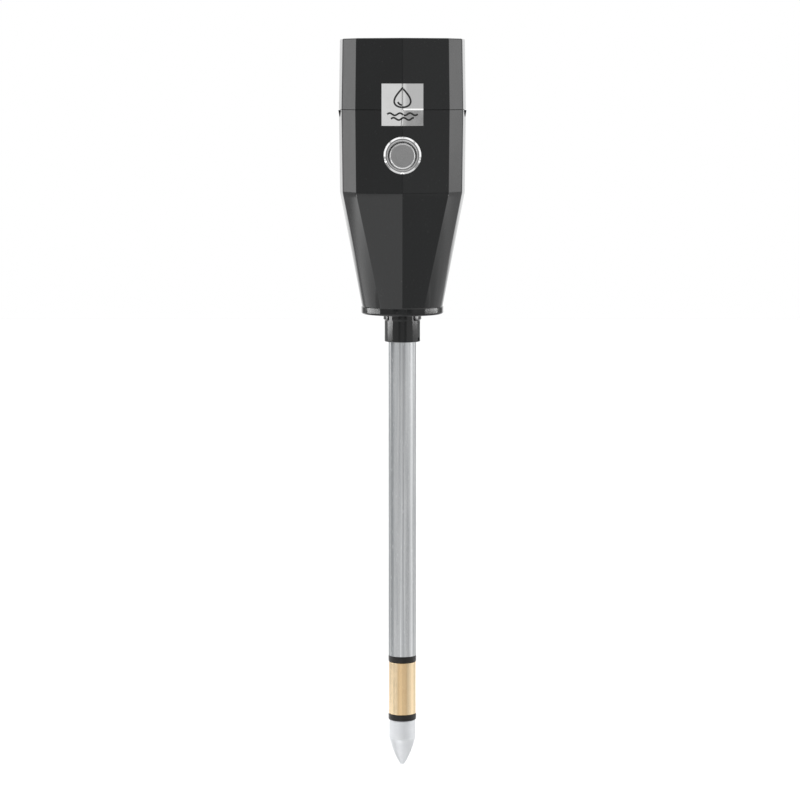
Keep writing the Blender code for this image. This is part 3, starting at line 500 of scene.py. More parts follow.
def plain_metal(name, colour, roughness):
    """Stamped or rolled metal on the inner pieces, with rolling lines and dulled patches."""
    s = Shader(name)
    lines = s.grain(0.15 * MM, 3.0, (1, 0.04, 1), 0.6)
    cloud = s.grain(2.5 * MM, 4.0)
    worn = s.edges(0.15 * MM)
    base = s.mix(s.span(lines, 0.3, 0.7), shade(colour, 0.88), shade(colour, 1.08))
    base = s.mix(s.span(cloud, 0.45, 0.75, 0.0, 0.5), base, shade(colour, 0.68))
    base = s.mix(s.calc("MULTIPLY", worn, 0.5), base, shade(colour, 1.25))
    gloss = s.span(cloud, 0.3, 0.7, roughness * 0.85, roughness * 1.3)
    return s.set(colour=base, roughness=gloss, metallic=1.0, normal=s.bump(lines, 2e-6))


def soft_plastic(name, colour, roughness):
    """Nylon, insulation, laminate and other inner plastics: a slightly cloudy colour and a fine skin."""
    s = Shader(name)
    cloud = s.grain(3 * MM, 3.0)
    skin = s.grain(0.2 * MM, 3.0)
    base = s.mix(s.span(cloud, 0.35, 0.65), shade(colour, 0.85), shade(colour, 1.12))
    gloss = s.span(skin, 0.3, 0.7, roughness * 0.9, roughness * 1.15)
    return s.set(colour=base, roughness=gloss, normal=s.bump(skin, 6e-6))


BUTTON_LOW, BUTTON_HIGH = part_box("button_bezel")
BUTTON_HEIGHT = (BUTTON_LOW.z + BUTTON_HIGH.z) / 2
BEZEL_RADIUS = (BUTTON_HIGH.x - BUTTON_LOW.x) / 2
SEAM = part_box("upper_housing")[0].z - 0.15 * MM
CAP_FACE_RADIUS = 4.55 * MM

MATERIALS = {
    "black_gloss_plastic": moulded_plastic("black_gloss_plastic", (0.0022, 0.0029, 0.0032), 0.105, 9e-6),
    "black_plastic": moulded_plastic("black_plastic", (0.008, 0.006, 0.005), 0.3, 20e-6, 0.3),
    "seal_rubber": soft_plastic("seal_rubber", (0.012, 0.012, 0.012), 0.7),
    # The bezel's dark ring at its line radius is painted shade.
    "chrome_plate": brushed_chrome("chrome_plate", (0.80, 0.80, 0.80), 0.10, line=BEZEL_RADIUS - 1.0 * MM),
    "satin_chrome": brushed_chrome("satin_chrome", (0.46, 0.46, 0.46), 0.30, CAP_FACE_RADIUS + 0.1 * MM),
    "silver_foil": silver_foil("silver_foil"),
    "drawn_tube": drawn_tube("drawn_tube"),
    # The brass carries a painted highlight colour on two bands.
    "electrode_brass": turned_metal(
        "electrode_brass", (0.88, 0.64, 0.365), 0.17, (0.80, 0.56, 0.31), 1e-6, polished=(1.0, 0.80, 0.53)
    ),
    "pale_electrode": turned_metal(
        "pale_electrode", (0.80, 0.815, 0.835), 0.42, (0.73, 0.75, 0.775), 2e-6, metallic=0.55
    ),
    "small_brass": plain_metal("small_brass", (0.74, 0.56, 0.28), 0.3),
    "steel": plain_metal("steel", (0.46, 0.46, 0.47), 0.34),
    "copper_winding": wound_copper("copper_winding"),
    "coil_aluminium": plain_metal("coil_aluminium", (0.76, 0.77, 0.78), 0.32),
    "window_clear": clear_window("window_clear"),
    "dial_print": painted_dial("dial_print"),
    "pointer_red": printed("pointer_red", (0.62, 0.035, 0.02), 0.35),
    "nylon": soft_plastic("nylon", (0.70, 0.68, 0.60), 0.45),
    "board": soft_plastic("board", (0.03, 0.17, 0.07), 0.35),
    "resistor_lacquer": soft_plastic("resistor_lacquer", (0.52, 0.38, 0.22), 0.4),
    "red_insulation": soft_plastic("red_insulation", (0.50, 0.02, 0.02), 0.4),
    "black_insulation": soft_plastic("black_insulation", (0.018, 0.018, 0.018), 0.4),
    "yellow_insulation": soft_plastic("yellow_insulation", (0.66, 0.46, 0.03), 0.4),
}
COLLAR_PLASTIC = moulded_plastic("collar_plastic", (0.0022, 0.0027, 0.0029), 0.1, 6e-6, 0.4, 0.5)
BLACK_INK = printed("black_ink", (0.006, 0.006, 0.006), 0.35)
BAND_INKS = {
    "dry": printed("red_ink", (0.55, 0.05, 0.03)),
    "moist": printed("green_ink", (0.05, 0.32, 0.08)),
    "wet": printed("blue_ink", (0.03, 0.14, 0.46)),
}


def dress_cad_nodes():
    """Gives every CAD node the material of its slot in the record."""
    for row in frame["record"]["subparts"]:
        node = frame["nodes"][row["node"]]
        node.data.materials.clear()
        node.data.materials.append(MATERIALS[row["material_slot"]])


def joint(name):
    return next(row for row in frame["joints"] if row["name"] == name)


def outer_radius(node):
    low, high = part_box(node)
    return (high.x - low.x) / 2


# Head -------------------------------------------------------------------------------------------


def on_plan(direction, distance):
    """Point in a direction measured from the front (-Y) towards +X."""
    return Vector((distance * math.sin(direction), -distance * math.cos(direction)))


def plan_corners():
    """Corners of the head's plan, read off the foot of the CAD's upper housing."""
    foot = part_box("upper_housing")[0].z
    farthest = {}
    for vertex in frame["nodes"]["upper_housing"].data.vertices:
        if vertex.co.z > foot + 0.01 * MM:
            continue
        point = Vector(vertex.co[:2])
        direction = round(math.degrees(math.atan2(point.x, -point.y)) % 360, 1) % 360
        if direction not in farthest or point.length > farthest[direction].length:
            farthest[direction] = point
    ring = [farthest[direction] for direction in sorted(farthest)]
    corners = []
    for index, point in enumerate(ring):
        before = point - ring[index - 1]
        after = ring[(index + 1) % len(ring)] - point
        if before.angle(after) > math.radians(8):
            corners.append(point)
    return corners


def quarter_angle(direction):
    """Folds a direction into the first quarter."""
    folded = direction % 180
    return min(folded, 180 - folded)


def foot_direction(direction):
    """Direction at the taper's foot of a point that lies in the given direction at the seam."""
    folded = quarter_angle(direction)
    spans = zip(QUARTER_DIRECTIONS, QUARTER_DIRECTIONS[1:], FOOT_DIRECTIONS, FOOT_DIRECTIONS[1:])
    for low, high, foot_low, foot_high in spans:
        if folded <= high + 1e-6:
            swung = foot_low + (foot_high - foot_low) * (folded - low) / (high - low)
            break
    quarter = int(direction % 360 // 90)
    return (swung, 180 - swung, 180 + swung, 360 - swung)[quarter]


def edge_rounding(corner):
    folded = quarter_angle(math.degrees(math.atan2(corner.x, -corner.y)))
    nearest = min(range(4), key=lambda index: abs(QUARTER_DIRECTIONS[index] - folded))
    return EDGE_ROUNDING[nearest]


def rounded_plan(corners, arc_steps=4, side_steps=7):
    """Points round the plan, with each corner rounded by an arc."""
    points = []
    arcs = []
    for index, corner in enumerate(corners):
        back = (corners[index - 1] - corner).normalized()
        ahead = (corners[(index + 1) % len(corners)] - corner).normalized()
        turn = math.pi - back.angle(ahead)
        reach = edge_rounding(corner) * math.tan(turn / 2)
        start, end = corner + back * reach, corner + ahead * reach
        arc = []
        for step in range(arc_steps + 1):
            share = step / arc_steps
            arc.append(start.lerp(corner, share).lerp(corner.lerp(end, share), share))
        arcs.append(arc)
    for index, arc in enumerate(arcs):
        points += arc
        after = arcs[(index + 1) % len(arcs)][0]
        for step in range(1, side_steps):
            points.append(arc[-1].lerp(after, step / side_steps))
    return points


CORNERS = plan_corners()
PLAN = rounded_plan(CORNERS)
FOOT_PLAN = []
for plan_point in PLAN:
    seam_direction = math.degrees(math.atan2(plan_point.x, -plan_point.y))
    FOOT_PLAN.append(on_plan(math.radians(foot_direction(seam_direction)), 1.0))
RIDGE = CORNERS[0]
FRONT_SIDE = CORNERS[1]
HEAD_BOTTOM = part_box("lower_housing")[0].z
HEAD_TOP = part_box("upper_housing")[1].z
APOTHEM = abs((RIDGE.x * FRONT_SIDE.y - RIDGE.y * FRONT_SIDE.x)) / (FRONT_SIDE - RIDGE).length


def faceted(scale, height, inset=0.0):
    """The head's plan at a scale, drawn in by the inset."""
    share = scale - inset / APOTHEM
    return [(p.x * share, p.y * share, height) for p in PLAN]


def rounded(radius, height):
    """A circle with one point for each of the plan's, in the directions they have at the taper's foot."""
    return [(foot.x * radius, foot.y * radius, height) for foot in FOOT_PLAN]


def tapered(scale, radius, shoulder, foot, steps):
    """Rings down a taper whose flats fade from the plan at the shoulder to a circle at the foot."""
    rings = []
    for step in range(steps + 1):
        share = step / steps
        height = shoulder + (foot - shoulder) * share
        ring = []
        for p, outward in zip(PLAN, FOOT_PLAN):
            point = p * scale * (1 - share) + outward * radius * share
            ring.append((point.x, point.y, height))
        rings.append(ring)
    return rings


def draft_scale(height):
    """The plan's scale at a height of the straight part, which is widest at the seam."""
    if height > SEAM:
        return 1 - (1 - TOP_SCALE) * (height - SEAM) / (HEAD_TOP - SEAM)
    return 1 - (1 - SHOULDER_SCALE) * (SEAM - height) / (SEAM - SHOULDER)


def build_lower_shell():
    floor = HEAD_BOTTOM + 3.4 * MM
    band_top = HEAD_BOTTOM + BAND_HEIGHT
    seam_edge = SEAM - 0.07 * MM
    tongue_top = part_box("lower_housing")[1].z
    seat = HEAD_BOTTOM + 1.0 * MM
    edge = 0.8 * MM
    lip = 0.02 * MM
    rings = [rounded(8.1 * MM, HEAD_BOTTOM)]
    for step in range(6):
        turn = math.radians(18 * step)
        radius = BAND_RADIUS - edge + edge * math.sin(turn)
        rings.append(rounded(radius, HEAD_BOTTOM + edge - edge * math.cos(turn)))
    rings.append(rounded(BAND_RADIUS, band_top - 0.3 * MM))
    rings.append(rounded(BAND_RADIUS - 0.08 * MM, band_top - 0.2 * MM))
    rings += tapered(SHOULDER_SCALE, TAPER_FOOT_RADIUS, SHOULDER, band_top, 26)[::-1]
    rings += [faceted(draft_scale(h), h) for h in (SHOULDER + 0.6 * MM, (SHOULDER + SEAM) / 2)]
    rings += [faceted(1.0, seam_edge - lip), faceted(1.0, seam_edge, lip)]
    rings.append(faceted(TONGUE_FOOT_SCALE, seam_edge))
    rings.append(faceted(TONGUE_FOOT_SCALE - 0.012, seam_edge + 0.2 * MM))
    rings += [faceted(TONGUE_SCALE, tongue_top)]
    rings += [faceted(INNER_SCALE, tongue_top)]
    rings += tapered(INNER_SCALE * SHOULDER_SCALE, BAND_RADIUS - 2.2 * MM, SHOULDER - MM, floor + MM, 4)
    rings += [rounded(10 * MM, floor), rounded(10 * MM, 199 * MM), rounded(7.2 * MM, 199 * MM)]
    rings += [rounded(7.2 * MM, seat), rounded(8.1 * MM, seat)]
    shell = mesh_object("lower_shell", bridged(rings, closed=True))
    boss_front = Vector((0, BUTTON_LOW.y + 2.5 * MM, BUTTON_HEIGHT))
    boss_radius = BEZEL_RADIUS - 0.3 * MM
    boss = [(0, -0.5 * MM), (boss_radius, -0.5 * MM), (boss_radius, 4.9 * MM), (0, 4.9 * MM)]
    joined(shell, facing_back(turned(boss, 74), boss_front))
    spot_radius = BEZEL_RADIUS + 0.2 * MM
    opening = [(0, -5 * MM), (spot_radius, -5 * MM), (spot_radius, 0), (6.2 * MM, 0)]
    opening += [(6.2 * MM, 12 * MM), (0, 12 * MM)]
    carved(shell, facing_back(turned(opening, 90), boss_front))
    for side, name in ((-1, "pry_lug_left"), (1, "pry_lug_right")):
        lug = mesh_object(name, pry_lug(side, seam_edge - 0.15 * MM))
        finished(lug, "meter", "black_gloss_plastic")
    finished(shell, "meter", "black_gloss_plastic", ["lower_housing"], 26)


def pry_lug(side, top):
    """Small wedge at the seam on each side of the head, for parting the shells."""
    width = max(corner.x for corner in CORNERS)
    profile = [(width - 0.8 * MM, top - 2.6 * MM), (width - 0.3 * MM, top - 2.6 * MM)]
    profile += [(width + 0.1 * MM, top - 0.4 * MM), (width + 0.1 * MM, top), (width - 0.8 * MM, top)]
    wedge = prism([(side * x, z) for x, z in profile], -2.5 * MM, 2.5 * MM)
    bmesh.ops.rotate(wedge, verts=wedge.verts, cent=(0, 0, 0), matrix=Matrix.Rotation(math.pi / 2, 3, "X"))
    return wedge


def build_upper_shell():
    shelf = HEAD_TOP - 2.0 * MM
    shelf_bottom = HEAD_TOP - 3.8 * MM
    joint_top = SEAM + 3.0 * MM
    rabbet = 21.6 * MM
    edge = 0.5 * MM
    lip = 0.02 * MM
    foot = SEAM + 0.13 * MM
    rings = [faceted(1.0, foot, lip), faceted(1.0, foot + lip)]
    rings += [faceted(draft_scale(h), h) for h in ((SEAM + HEAD_TOP) / 2, HEAD_TOP - edge)]
    for step in range(1, 6):
        turn = math.radians(18 * step)
        inset = edge * (1 - math.cos(turn))
        rings.append(faceted(draft_scale(HEAD_TOP), HEAD_TOP - edge + edge * math.sin(turn), inset))
    rings += [rounded(rabbet + 0.15 * MM, HEAD_TOP), rounded(rabbet, HEAD_TOP - 0.15 * MM)]
    rings += [rounded(rabbet, shelf), rounded(20.0 * MM, shelf), rounded(20.0 * MM, shelf_bottom)]
    rings += [faceted(INNER_SCALE, shelf_bottom), faceted(INNER_SCALE, joint_top)]
    rings += [faceted(POCKET_SCALE, joint_top), faceted(POCKET_FOOT_SCALE, foot)]
    shell = mesh_object("upper_shell", bridged(rings, closed=True))
    finished(shell, "meter", "black_gloss_plastic", ["upper_housing"], 26)


# Label ------------------------------------------------------------------------------------------


LABEL_LOW, LABEL_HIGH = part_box("foil_label")
FOIL = 0.1 * MM


def label_surface(x, height, lift=0.0):
    """Y of the foil's outer face. It follows the two flats in a soft fold over the ridge, and its lower
    right part stands off where the foil was pressed down over the seam."""
    drop = LABEL_HIGH.z - height
    fold = -0.35 * MM * max(0.0, SEAM - height) / (SEAM - LABEL_LOW.z)
    across = x - fold
    bend = 0.32 * MM
    roof = math.sqrt(across * across + bend * bend) - bend
    slope = (FRONT_SIDE.y - RIDGE.y) / (FRONT_SIDE.x - RIDGE.x)
    y = RIDGE.y * draft_scale(height) + slope * roof
    ripple = 0.012 * MM * noise.noise(Vector((x / (3.2 * MM), drop / (4.5 * MM), 4.2)))
    dip = 0.03 * MM * math.exp(-(((height - SEAM) / (0.3 * MM)) ** 2))
    right = min(1.0, max(0.0, across / (0.5 * MM)))
    below = min(1.0, max(0.0, (height - LABEL_LOW.z) / (SEAM - LABEL_LOW.z)))
    above = min(1.0, max(0.0, 1 - (height - SEAM) / (0.55 * MM)))
    stand_off = 0.42 * MM * right * below * above
    return y - 0.16 * MM - lift + ripple + dip - stand_off


def build_label():
    columns, rows = 72, 110
    bm = bmesh.new()
    grids = []
    for lift in (0.0, -FOIL):
        grid = []
        for row in range(rows + 1):
            height = LABEL_LOW.z + (LABEL_HIGH.z - LABEL_LOW.z) * row / rows
            line = []
            for column in range(columns + 1):
                x = LABEL_LOW.x + (LABEL_HIGH.x - LABEL_LOW.x) * column / columns
                line.append(bm.verts.new((x, label_surface(x, height, lift), height)))
            grid.append(line)
        grids.append(grid)
    front, back = grids
    for row in range(rows):
        for column in range(columns):
            for grid in grids:
                corners = (grid[row][column], grid[row][column + 1])
                corners += (grid[row + 1][column + 1], grid[row + 1][column])
                bm.faces.new(corners)
    for row in range(rows):
        for column in (0, columns):
            low, high = row, row + 1
            bm.faces.new((front[low][column], front[high][column], back[high][column], back[low][column]))
    for column in range(columns):
        for row in (0, rows):
            after = column + 1
            bm.faces.new((front[row][column], front[row][after], back[row][after], back[row][column]))
    label = mesh_object("foil_sheet", bm)
    finished(label, "meter", "silver_foil", ["foil_label"], 60)


def stroke(path, width, surface, thickness, closed=False):
    """A drawn line: a thin band of even width along a path of (u, v) points, laid on a surface that
    turns (u, v, lift) into a place."""
    bm = bmesh.new()
    count = len(path)
    rungs = []
    for index, point in enumerate(path):
        if closed:
            before, after = path[index - 1], path[(index + 1) % count]
        else:
            before, after = path[max(index - 1, 0)], path[min(index + 1, count - 1)]
        along = (Vector(after) - Vector(before)).normalized()
        side = Vector((-along.y, along.x)) * width / 2
        left, right = Vector(point) + side, Vector(point) - side
        rung = []
        for edge, lift in ((left, 0.0), (right, 0.0), (right, thickness), (left, thickness)):
            rung.append(bm.verts.new(surface(edge.x, edge.y, lift)))
        rungs.append(rung)
    pairs = list(zip(rungs, rungs[1:]))
    if closed:
        pairs.append((rungs[-1], rungs[0]))
    for first, second in pairs:
        for corner in range(4):
            after = (corner + 1) % 4
            bm.faces.new((first[corner], first[after], second[after], second[corner]))
    if not closed:
        bm.faces.new(rungs[0])
        bm.faces.new(rungs[-1])
    return bm


def droplet(width, height, centre, steps=48):
    """Outline of a water drop with its point up."""
    points = []
    for step in range(steps):
        angle = 2 * math.pi * step / steps
        across = math.sin(angle) * math.sin(angle / 2) ** 1.3
        points.append((centre[0] - width * 0.62 * across, centre[1] + height / 2 * math.cos(angle)))
    return points


def wave(width, height, centre, crests, steps=40):
    points = []
    for step in range(steps + 1):
        share = step / steps
        lift = height / 2 * math.sin(2 * math.pi * crests * share)
        points.append((centre[0] + width * (share - 0.5), centre[1] + lift))
    return points


def build_label_print():
    """A water drop over two lines of soil, printed on the foil."""
    middle = (LABEL_LOW.z + LABEL_HIGH.z) / 2

    def on_label(u, v, lift):
        height = middle + v
        return (u, label_surface(u, height, 0.004 * MM + lift), height)

    thickness = 0.02 * MM
    line = 0.7 * MM
    drop = droplet(7.2 * MM, 7.6 * MM, (0, 2.8 * MM))
    glint = []
    for step in range(13):
        angle = math.radians(200 + 62 * step / 12)
        glint.append((1.9 * MM * math.cos(angle), 1.75 * MM + 1.9 * MM * math.sin(angle)))
    strokes = {
        "print_drop": (drop, True),
        "print_glint": (glint, False),
        "print_soil_upper": (wave(12.0 * MM, 0.9 * MM, (0, -3.7 * MM), 3), False),
        "print_soil_lower": (wave(9.0 * MM, 0.9 * MM, (0, -5.5 * MM), 2.25), False),
    }
    for name, (path, closed) in strokes.items():
        mark = mesh_object(name, stroke(path, line, on_label, thickness, closed))
        finished(mark, "meter", "silver_foil", material=BLACK_INK)


# Button -----------------------------------------------------------------------------------------


def build_button():
    face = Vector((0, BUTTON_LOW.y, BUTTON_HEIGHT))
    cap_low, cap_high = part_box("button_cap")
    cap_radius = (cap_high.x - cap_low.x) / 2 + 0.1 * MM
    bore = 5.6 * MM
    bezel = [(bore, 0.25 * MM), (bore + 0.25 * MM, 0), (BEZEL_RADIUS - 0.8 * MM, 0)]
    bezel += [(BEZEL_RADIUS - 0.1 * MM, 0.8 * MM), (BEZEL_RADIUS, 1.0 * MM), (BEZEL_RADIUS, 1.7 * MM)]
    bezel += [(5.9 * MM, 1.7 * MM), (5.9 * MM, 14 * MM), (4.7 * MM, 14 * MM), (4.7 * MM, 9.4 * MM)]
    bezel += [(2.4 * MM, 9.4 * MM), (2.4 * MM, 8.2 * MM), (4.7 * MM, 8.2 * MM), (4.7 * MM, 4.7 * MM)]
    bezel += [(bore, 4.7 * MM)]
    ring = mesh_object("bezel_ring", facing_back(turned(softened(bezel, 0.12 * MM), 128), face))
    finished(ring, "meter", "chrome_plate", ["button_bezel"], 50)
    front = -0.1 * MM
    cap = [(0, front + 0.03 * MM), (CAP_FACE_RADIUS, front), (cap_radius - 0.05 * MM, front + 0.55 * MM)]
    cap += [(cap_radius, front + 0.65 * MM), (cap_radius, 2.7 * MM), (1.6 * MM, 2.7 * MM)]
    cap += [(1.6 * MM, 11 * MM), (0, 11 * MM)]
    sag = Vector((0, 0, -0.3 * MM))
    knob = mesh_object("push_cap", facing_back(turned(softened(cap, 0.1 * MM), 128), face + sag))
    finished(knob, "button", "satin_chrome", ["button_cap"], 50)
    seal = [(6.3 * MM, 1.85 * MM), (7.0 * MM, 1.85 * MM), (7.0 * MM, 2.35 * MM), (6.3 * MM, 2.35 * MM)]
    washer = mesh_object("rubber_seal", facing_back(turned(softened(seal, 0.2 * MM), 96), face))
    finished(washer, "meter", "seal_rubber", ["button_seal"], 60)
    build_return_spring()


def build_return_spring():
    """Coil spring behind the cap."""
    low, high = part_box("button_spring")
    wire = 0.28 * MM
    coil_radius = (high.x - low.x) / 2 - wire
    turns = 5
    sides = 10
    steps = 36 * turns
    bm = bmesh.new()
    rings = []
    for step in range(steps + 1):
        angle = 2 * math.pi * turns * step / steps
        out = Vector((math.cos(angle), 0, math.sin(angle)))
        depth = low.y + wire + (high.y - low.y - 2 * wire) * step / steps
        centre = Vector((0, depth, BUTTON_HEIGHT)) + out * coil_radius
        ring = []
        for side in range(sides):
            turn = 2 * math.pi * side / sides
            spread = out * math.cos(turn) + Vector((0, math.sin(turn), 0))
            ring.append(bm.verts.new(centre + spread * wire))
        rings.append(ring)
    for first, second in zip(rings, rings[1:]):
        for side in range(sides):
            after = (side + 1) % sides
            bm.faces.new((first[side], first[after], second[after], second[side]))
    bm.faces.new(rings[0])
    bm.faces.new(rings[-1])
    spring = mesh_object("return_spring", bm)
    finished(spring, "meter", "steel", ["button_spring"], 60)
    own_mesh(spring)


# Probe ------------------------------------------------------------------------------------------


def arc_between(start, end, bulge, steps):
    """Points on a shallow arc from start to end that stands out from its chord by the bulge."""
    (r0, z0), (r1, z1) = start, end
    chord = math.hypot(r1 - r0, z1 - z0)
    out_r, out_z = (z0 - z1) / chord, (r1 - r0) / chord
    points = []
    for step in range(steps + 1):
        share = step / steps
        lift = bulge * 4 * share * (1 - share)
        points.append((r0 + (r1 - r0) * share + out_r * lift, z0 + (z1 - z0) * share + out_z * lift))
    return points


def spoke(direction, radius, width, depth, bottom, top):
    """Block set square to a direction from the front, reaching in from outside the radius by the depth."""
    out = on_plan(math.radians(direction), 1.0)
    aside = Vector((-out.y, out.x))
    outline = []
    for reach, across in ((-depth, -0.5), (MM, -0.5), (MM, 0.5), (-depth, 0.5)):
        outline.append(out * (radius + reach) + aside * (across * width))
    return prism(outline, bottom, top)


def build_collar():
    low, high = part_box("probe_collar")
    lip_top = HEAD_BOTTOM - 0.3 * MM
    lip_bottom = lip_top - 2.2 * MM
    lip_radius = high.x
    foot_radius = 7.15 * MM
    bore = 6.0 * MM
    outline = [(bore, low.z), (foot_radius + 0.1 * MM, low.z), (foot_radius + 0.1 * MM, lip_bottom)]
    outline += [(lip_radius, lip_bottom + 0.3 * MM), (lip_radius, lip_top), (6.9 * MM, lip_top)]
    outline += [(6.9 * MM, high.z), (bore, high.z)]
    collar = mesh_object("collar_bush", turned(softened(outline, 0.3 * MM), 112))
    slots = [spoke(66, foot_radius, 1.5 * MM, 0.6 * MM, low.z - MM, low.z + 1.8 * MM)]
    for direction, width in ((-42, 2.4 * MM), (36, 1.3 * MM)):
        span = (lip_bottom - 0.2 * MM, lip_top + 0.2 * MM)
        slots.append(spoke(direction, lip_radius, width, 0.55 * MM, *span))
    carved(collar, *slots)
    finished(collar, "meter", "black_gloss_plastic", ["probe_collar"], 35, COLLAR_PLASTIC)


def build_tube():
    low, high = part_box("probe_tube")
    radius = outer_radius("probe_tube")
    bore = radius - 1.2 * MM

    def drawn(angle, height):
        """Shallow draw marks along the tube, and a very slight waviness up its length."""
        marks = noise.noise(Vector((9 * math.cos(angle), 9 * math.sin(angle), 0.7)))
        sway = noise.noise(Vector((math.cos(angle), math.sin(angle), height / (28 * MM))))
        return 0.008 * MM * marks + 0.006 * MM * sway

    outline = [(bore, low.z), (radius - 0.12 * MM, low.z), (radius, low.z + 0.12 * MM)]
    rise = 48
    for step in range(1, rise):
        outline.append((radius, low.z + (high.z - low.z) * step / rise))
    outline += [(radius, high.z), (bore, high.z)]
    tube = mesh_object("drawn_tube", turned(outline, 144, drawn))
    finished(tube, "meter", "drawn_tube", ["probe_tube"], 40)


def build_insulators():
    spigot = 4.2 * MM
    bore = 2.9 * MM
    rims = {
        "upper_insulator_ring": ("upper_ring", 5.0, 6.0),
        "lower_insulator_ring": ("lower_ring", 2.3, 5.0),
    }
    for node, (name, below, above) in rims.items():
        low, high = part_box(node)
        radius = outer_radius(node) + 0.22 * MM
        bottom, top = low.z + below * MM + 0.1 * MM, high.z - above * MM
        rim = [(bore, low.z), (spigot, low.z), (spigot, bottom)]
        rim += [(radius, bottom), (radius, top), (spigot, top), (spigot, high.z), (bore, high.z)]

        def squeezed(angle, height):
            """The rim bulges unevenly where it was pressed between the metal pieces."""
            if not bottom - 0.01 * MM < height < top + 0.01 * MM:
                return 0.0
            return 0.03 * MM * noise.noise(Vector((4 * math.cos(angle), 4 * math.sin(angle), height / MM)))

        ring = mesh_object(name, turned(softened(rim, 0.3 * MM, 5), 112, squeezed))
        if node == "upper_insulator_ring":
            foot, head, reach = low.z - MM, high.z + MM, 0.8 * MM
            wire_hole = turned([(0, foot), (reach, foot), (reach, head), (0, head)], 24)
            carved(ring, moved(wire_hole, (3.55 * MM, 0, 0)))
        finished(ring, "meter", "black_plastic", [node], 40)


def build_electrodes():
    low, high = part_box("brass_electrode")
    radius = outer_radius("brass_electrode")
    bore = 4.5 * MM
    sleeve = [(bore, low.z), (radius, low.z), (radius, high.z), (bore, high.z)]
    brass = mesh_object("brass_band", turned(softened(sleeve, 0.15 * MM), 128))
    finished(brass, "meter", "electrode_brass", ["brass_electrode"], 50)
    low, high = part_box("tip_electrode")
    radius = outer_radius("tip_electrode")
    shoulder = 11.2 * MM
    flank = arc_between((radius - 0.1 * MM, shoulder - 0.2 * MM), (0.95 * MM, 0.4 * MM), 0.5 * MM, 24)
    nose = arc_between((0.95 * MM, 0.4 * MM), (0, low.z), 0.2 * MM, 6)
    tip = [(0, 8 * MM), (1.9 * MM, 8 * MM), (1.9 * MM, 16.2 * MM), (bore, 16.2 * MM), (bore, high.z)]
    tip += [(radius - 0.2 * MM, high.z), (radius - 0.05 * MM, high.z - 0.06 * MM)]
    tip.append((radius, high.z - 0.2 * MM))
    tip += [(radius, shoulder + 0.12 * MM), (radius - 0.14 * MM, shoulder)]
    tip += flank + nose[1:]
    point = mesh_object("bullet_tip", turned(tip, 128))
    finished(point, "meter", "pale_electrode", ["tip_electrode"], 40)


# Dial -------------------------------------------------------------------------------------------


def build_window():
    low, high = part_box("dial_window")
    radius = outer_radius("dial_window")
    rim = high.z - 0.35 * MM
    crown = arc_between((radius - 0.35 * MM, high.z - 0.12 * MM), (0, high.z), 0.03 * MM, 10)
    outline = [(0, low.z), (radius - 0.1 * MM, low.z), (radius, low.z + 0.1 * MM), (radius, rim)] + crown
    window = mesh_object("clear_window", turned(outline, 144))
    finished(window, "meter", "window_clear", ["dial_window"], 50)


def build_dial_print():
    """Scale from 0 to 10 about the pointer's pivot, with coloured bands for dry, moist and wet soil."""
    dial_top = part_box("dial_plate")[1].z
    pivot = Vector(joint("pointer_swing")["pos_m"])
    thickness = 0.02 * MM

    def on_dial(u, v, lift):
        return (pivot.x + u, pivot.y + v, dial_top + 0.01 * MM + lift)

    def scale_arc(radius, start, end):
        steps = max(6, int(48 * (end - start)))
        points = []
        for step in range(steps + 1):
            angle = math.radians(POINTER_SWING * (start + (end - start) * step / steps) - POINTER_SWING / 2)
            points.append((radius * math.sin(angle), radius * math.cos(angle)))
        return points

    def add_mark(name, path, width, ink, closed=False):
        mark = mesh_object(name, stroke(path, width, on_dial, thickness, closed))
        finished(mark, "meter", "dial_print", material=ink)

    add_mark("scale_line", scale_arc(18.2 * MM, 0, 1), 0.22 * MM, BLACK_INK)
    bands = {"dry": (0.0, 0.3), "moist": (0.3, 0.7), "wet": (0.7, 1.0)}
    for name, (start, end) in bands.items():
        path = scale_arc(16.3 * MM, start + 0.004, end - 0.004)
        add_mark(f"band_{name}", path, 1.5 * MM, BAND_INKS[name])
    parts = 20
    for tick in range(parts + 1):
        angle = math.radians(POINTER_SWING * tick / parts - POINTER_SWING / 2)
        major = tick % 2 == 0
        along = Vector((math.sin(angle), math.cos(angle)))
        inner, outer = 17.3 * MM, (19.2 if major else 18.7) * MM
        path = [along * inner, along * (inner + outer) / 2, along * outer]
        add_mark(f"tick_{tick:02d}", path, (0.3 if major else 0.18) * MM, BLACK_INK)
        if major:
            build_numeral(str(tick // 2), pivot, along * 20.9 * MM, angle, dial_top)
    add_mark("dial_drop", droplet(3.6 * MM, 4.2 * MM, (0, 10.4 * MM), 32), 0.32 * MM, BLACK_INK, True)


def build_numeral(text, pivot, offset, angle, dial_top):
    curve = bpy.data.curves.new(f"numeral_{text}", "FONT")
    curve.body = text
    curve.size = 2.3 * MM
    curve.align_x = "CENTER"
    curve.align_y = "CENTER"
    curve.extrude = 0.01 * MM
    holder = bpy.data.objects.new("holder", curve)
    bpy.context.collection.objects.link(holder)
    mesh = bpy.data.meshes.new_from_object(holder.evaluated_get(bpy.context.evaluated_depsgraph_get()))
    bpy.data.objects.remove(holder, do_unlink=True)
    place = Vector((pivot.x + offset.x, pivot.y + offset.y, dial_top + 0.02 * MM))
    mesh.transform(Matrix.Translation(place) @ Matrix.Rotation(-angle, 4, "Z"))
    bm = bmesh.new()
    bm.from_mesh(mesh)
    bmesh.ops.remove_doubles(bm, verts=bm.verts, dist=1e-7)
    numeral = mesh_object(f"numeral_{text}", bm)
    bpy.data.meshes.remove(mesh)
    finished(numeral, "meter", "dial_print", material=BLACK_INK)


# Studio -----------------------------------------------------------------------------------------


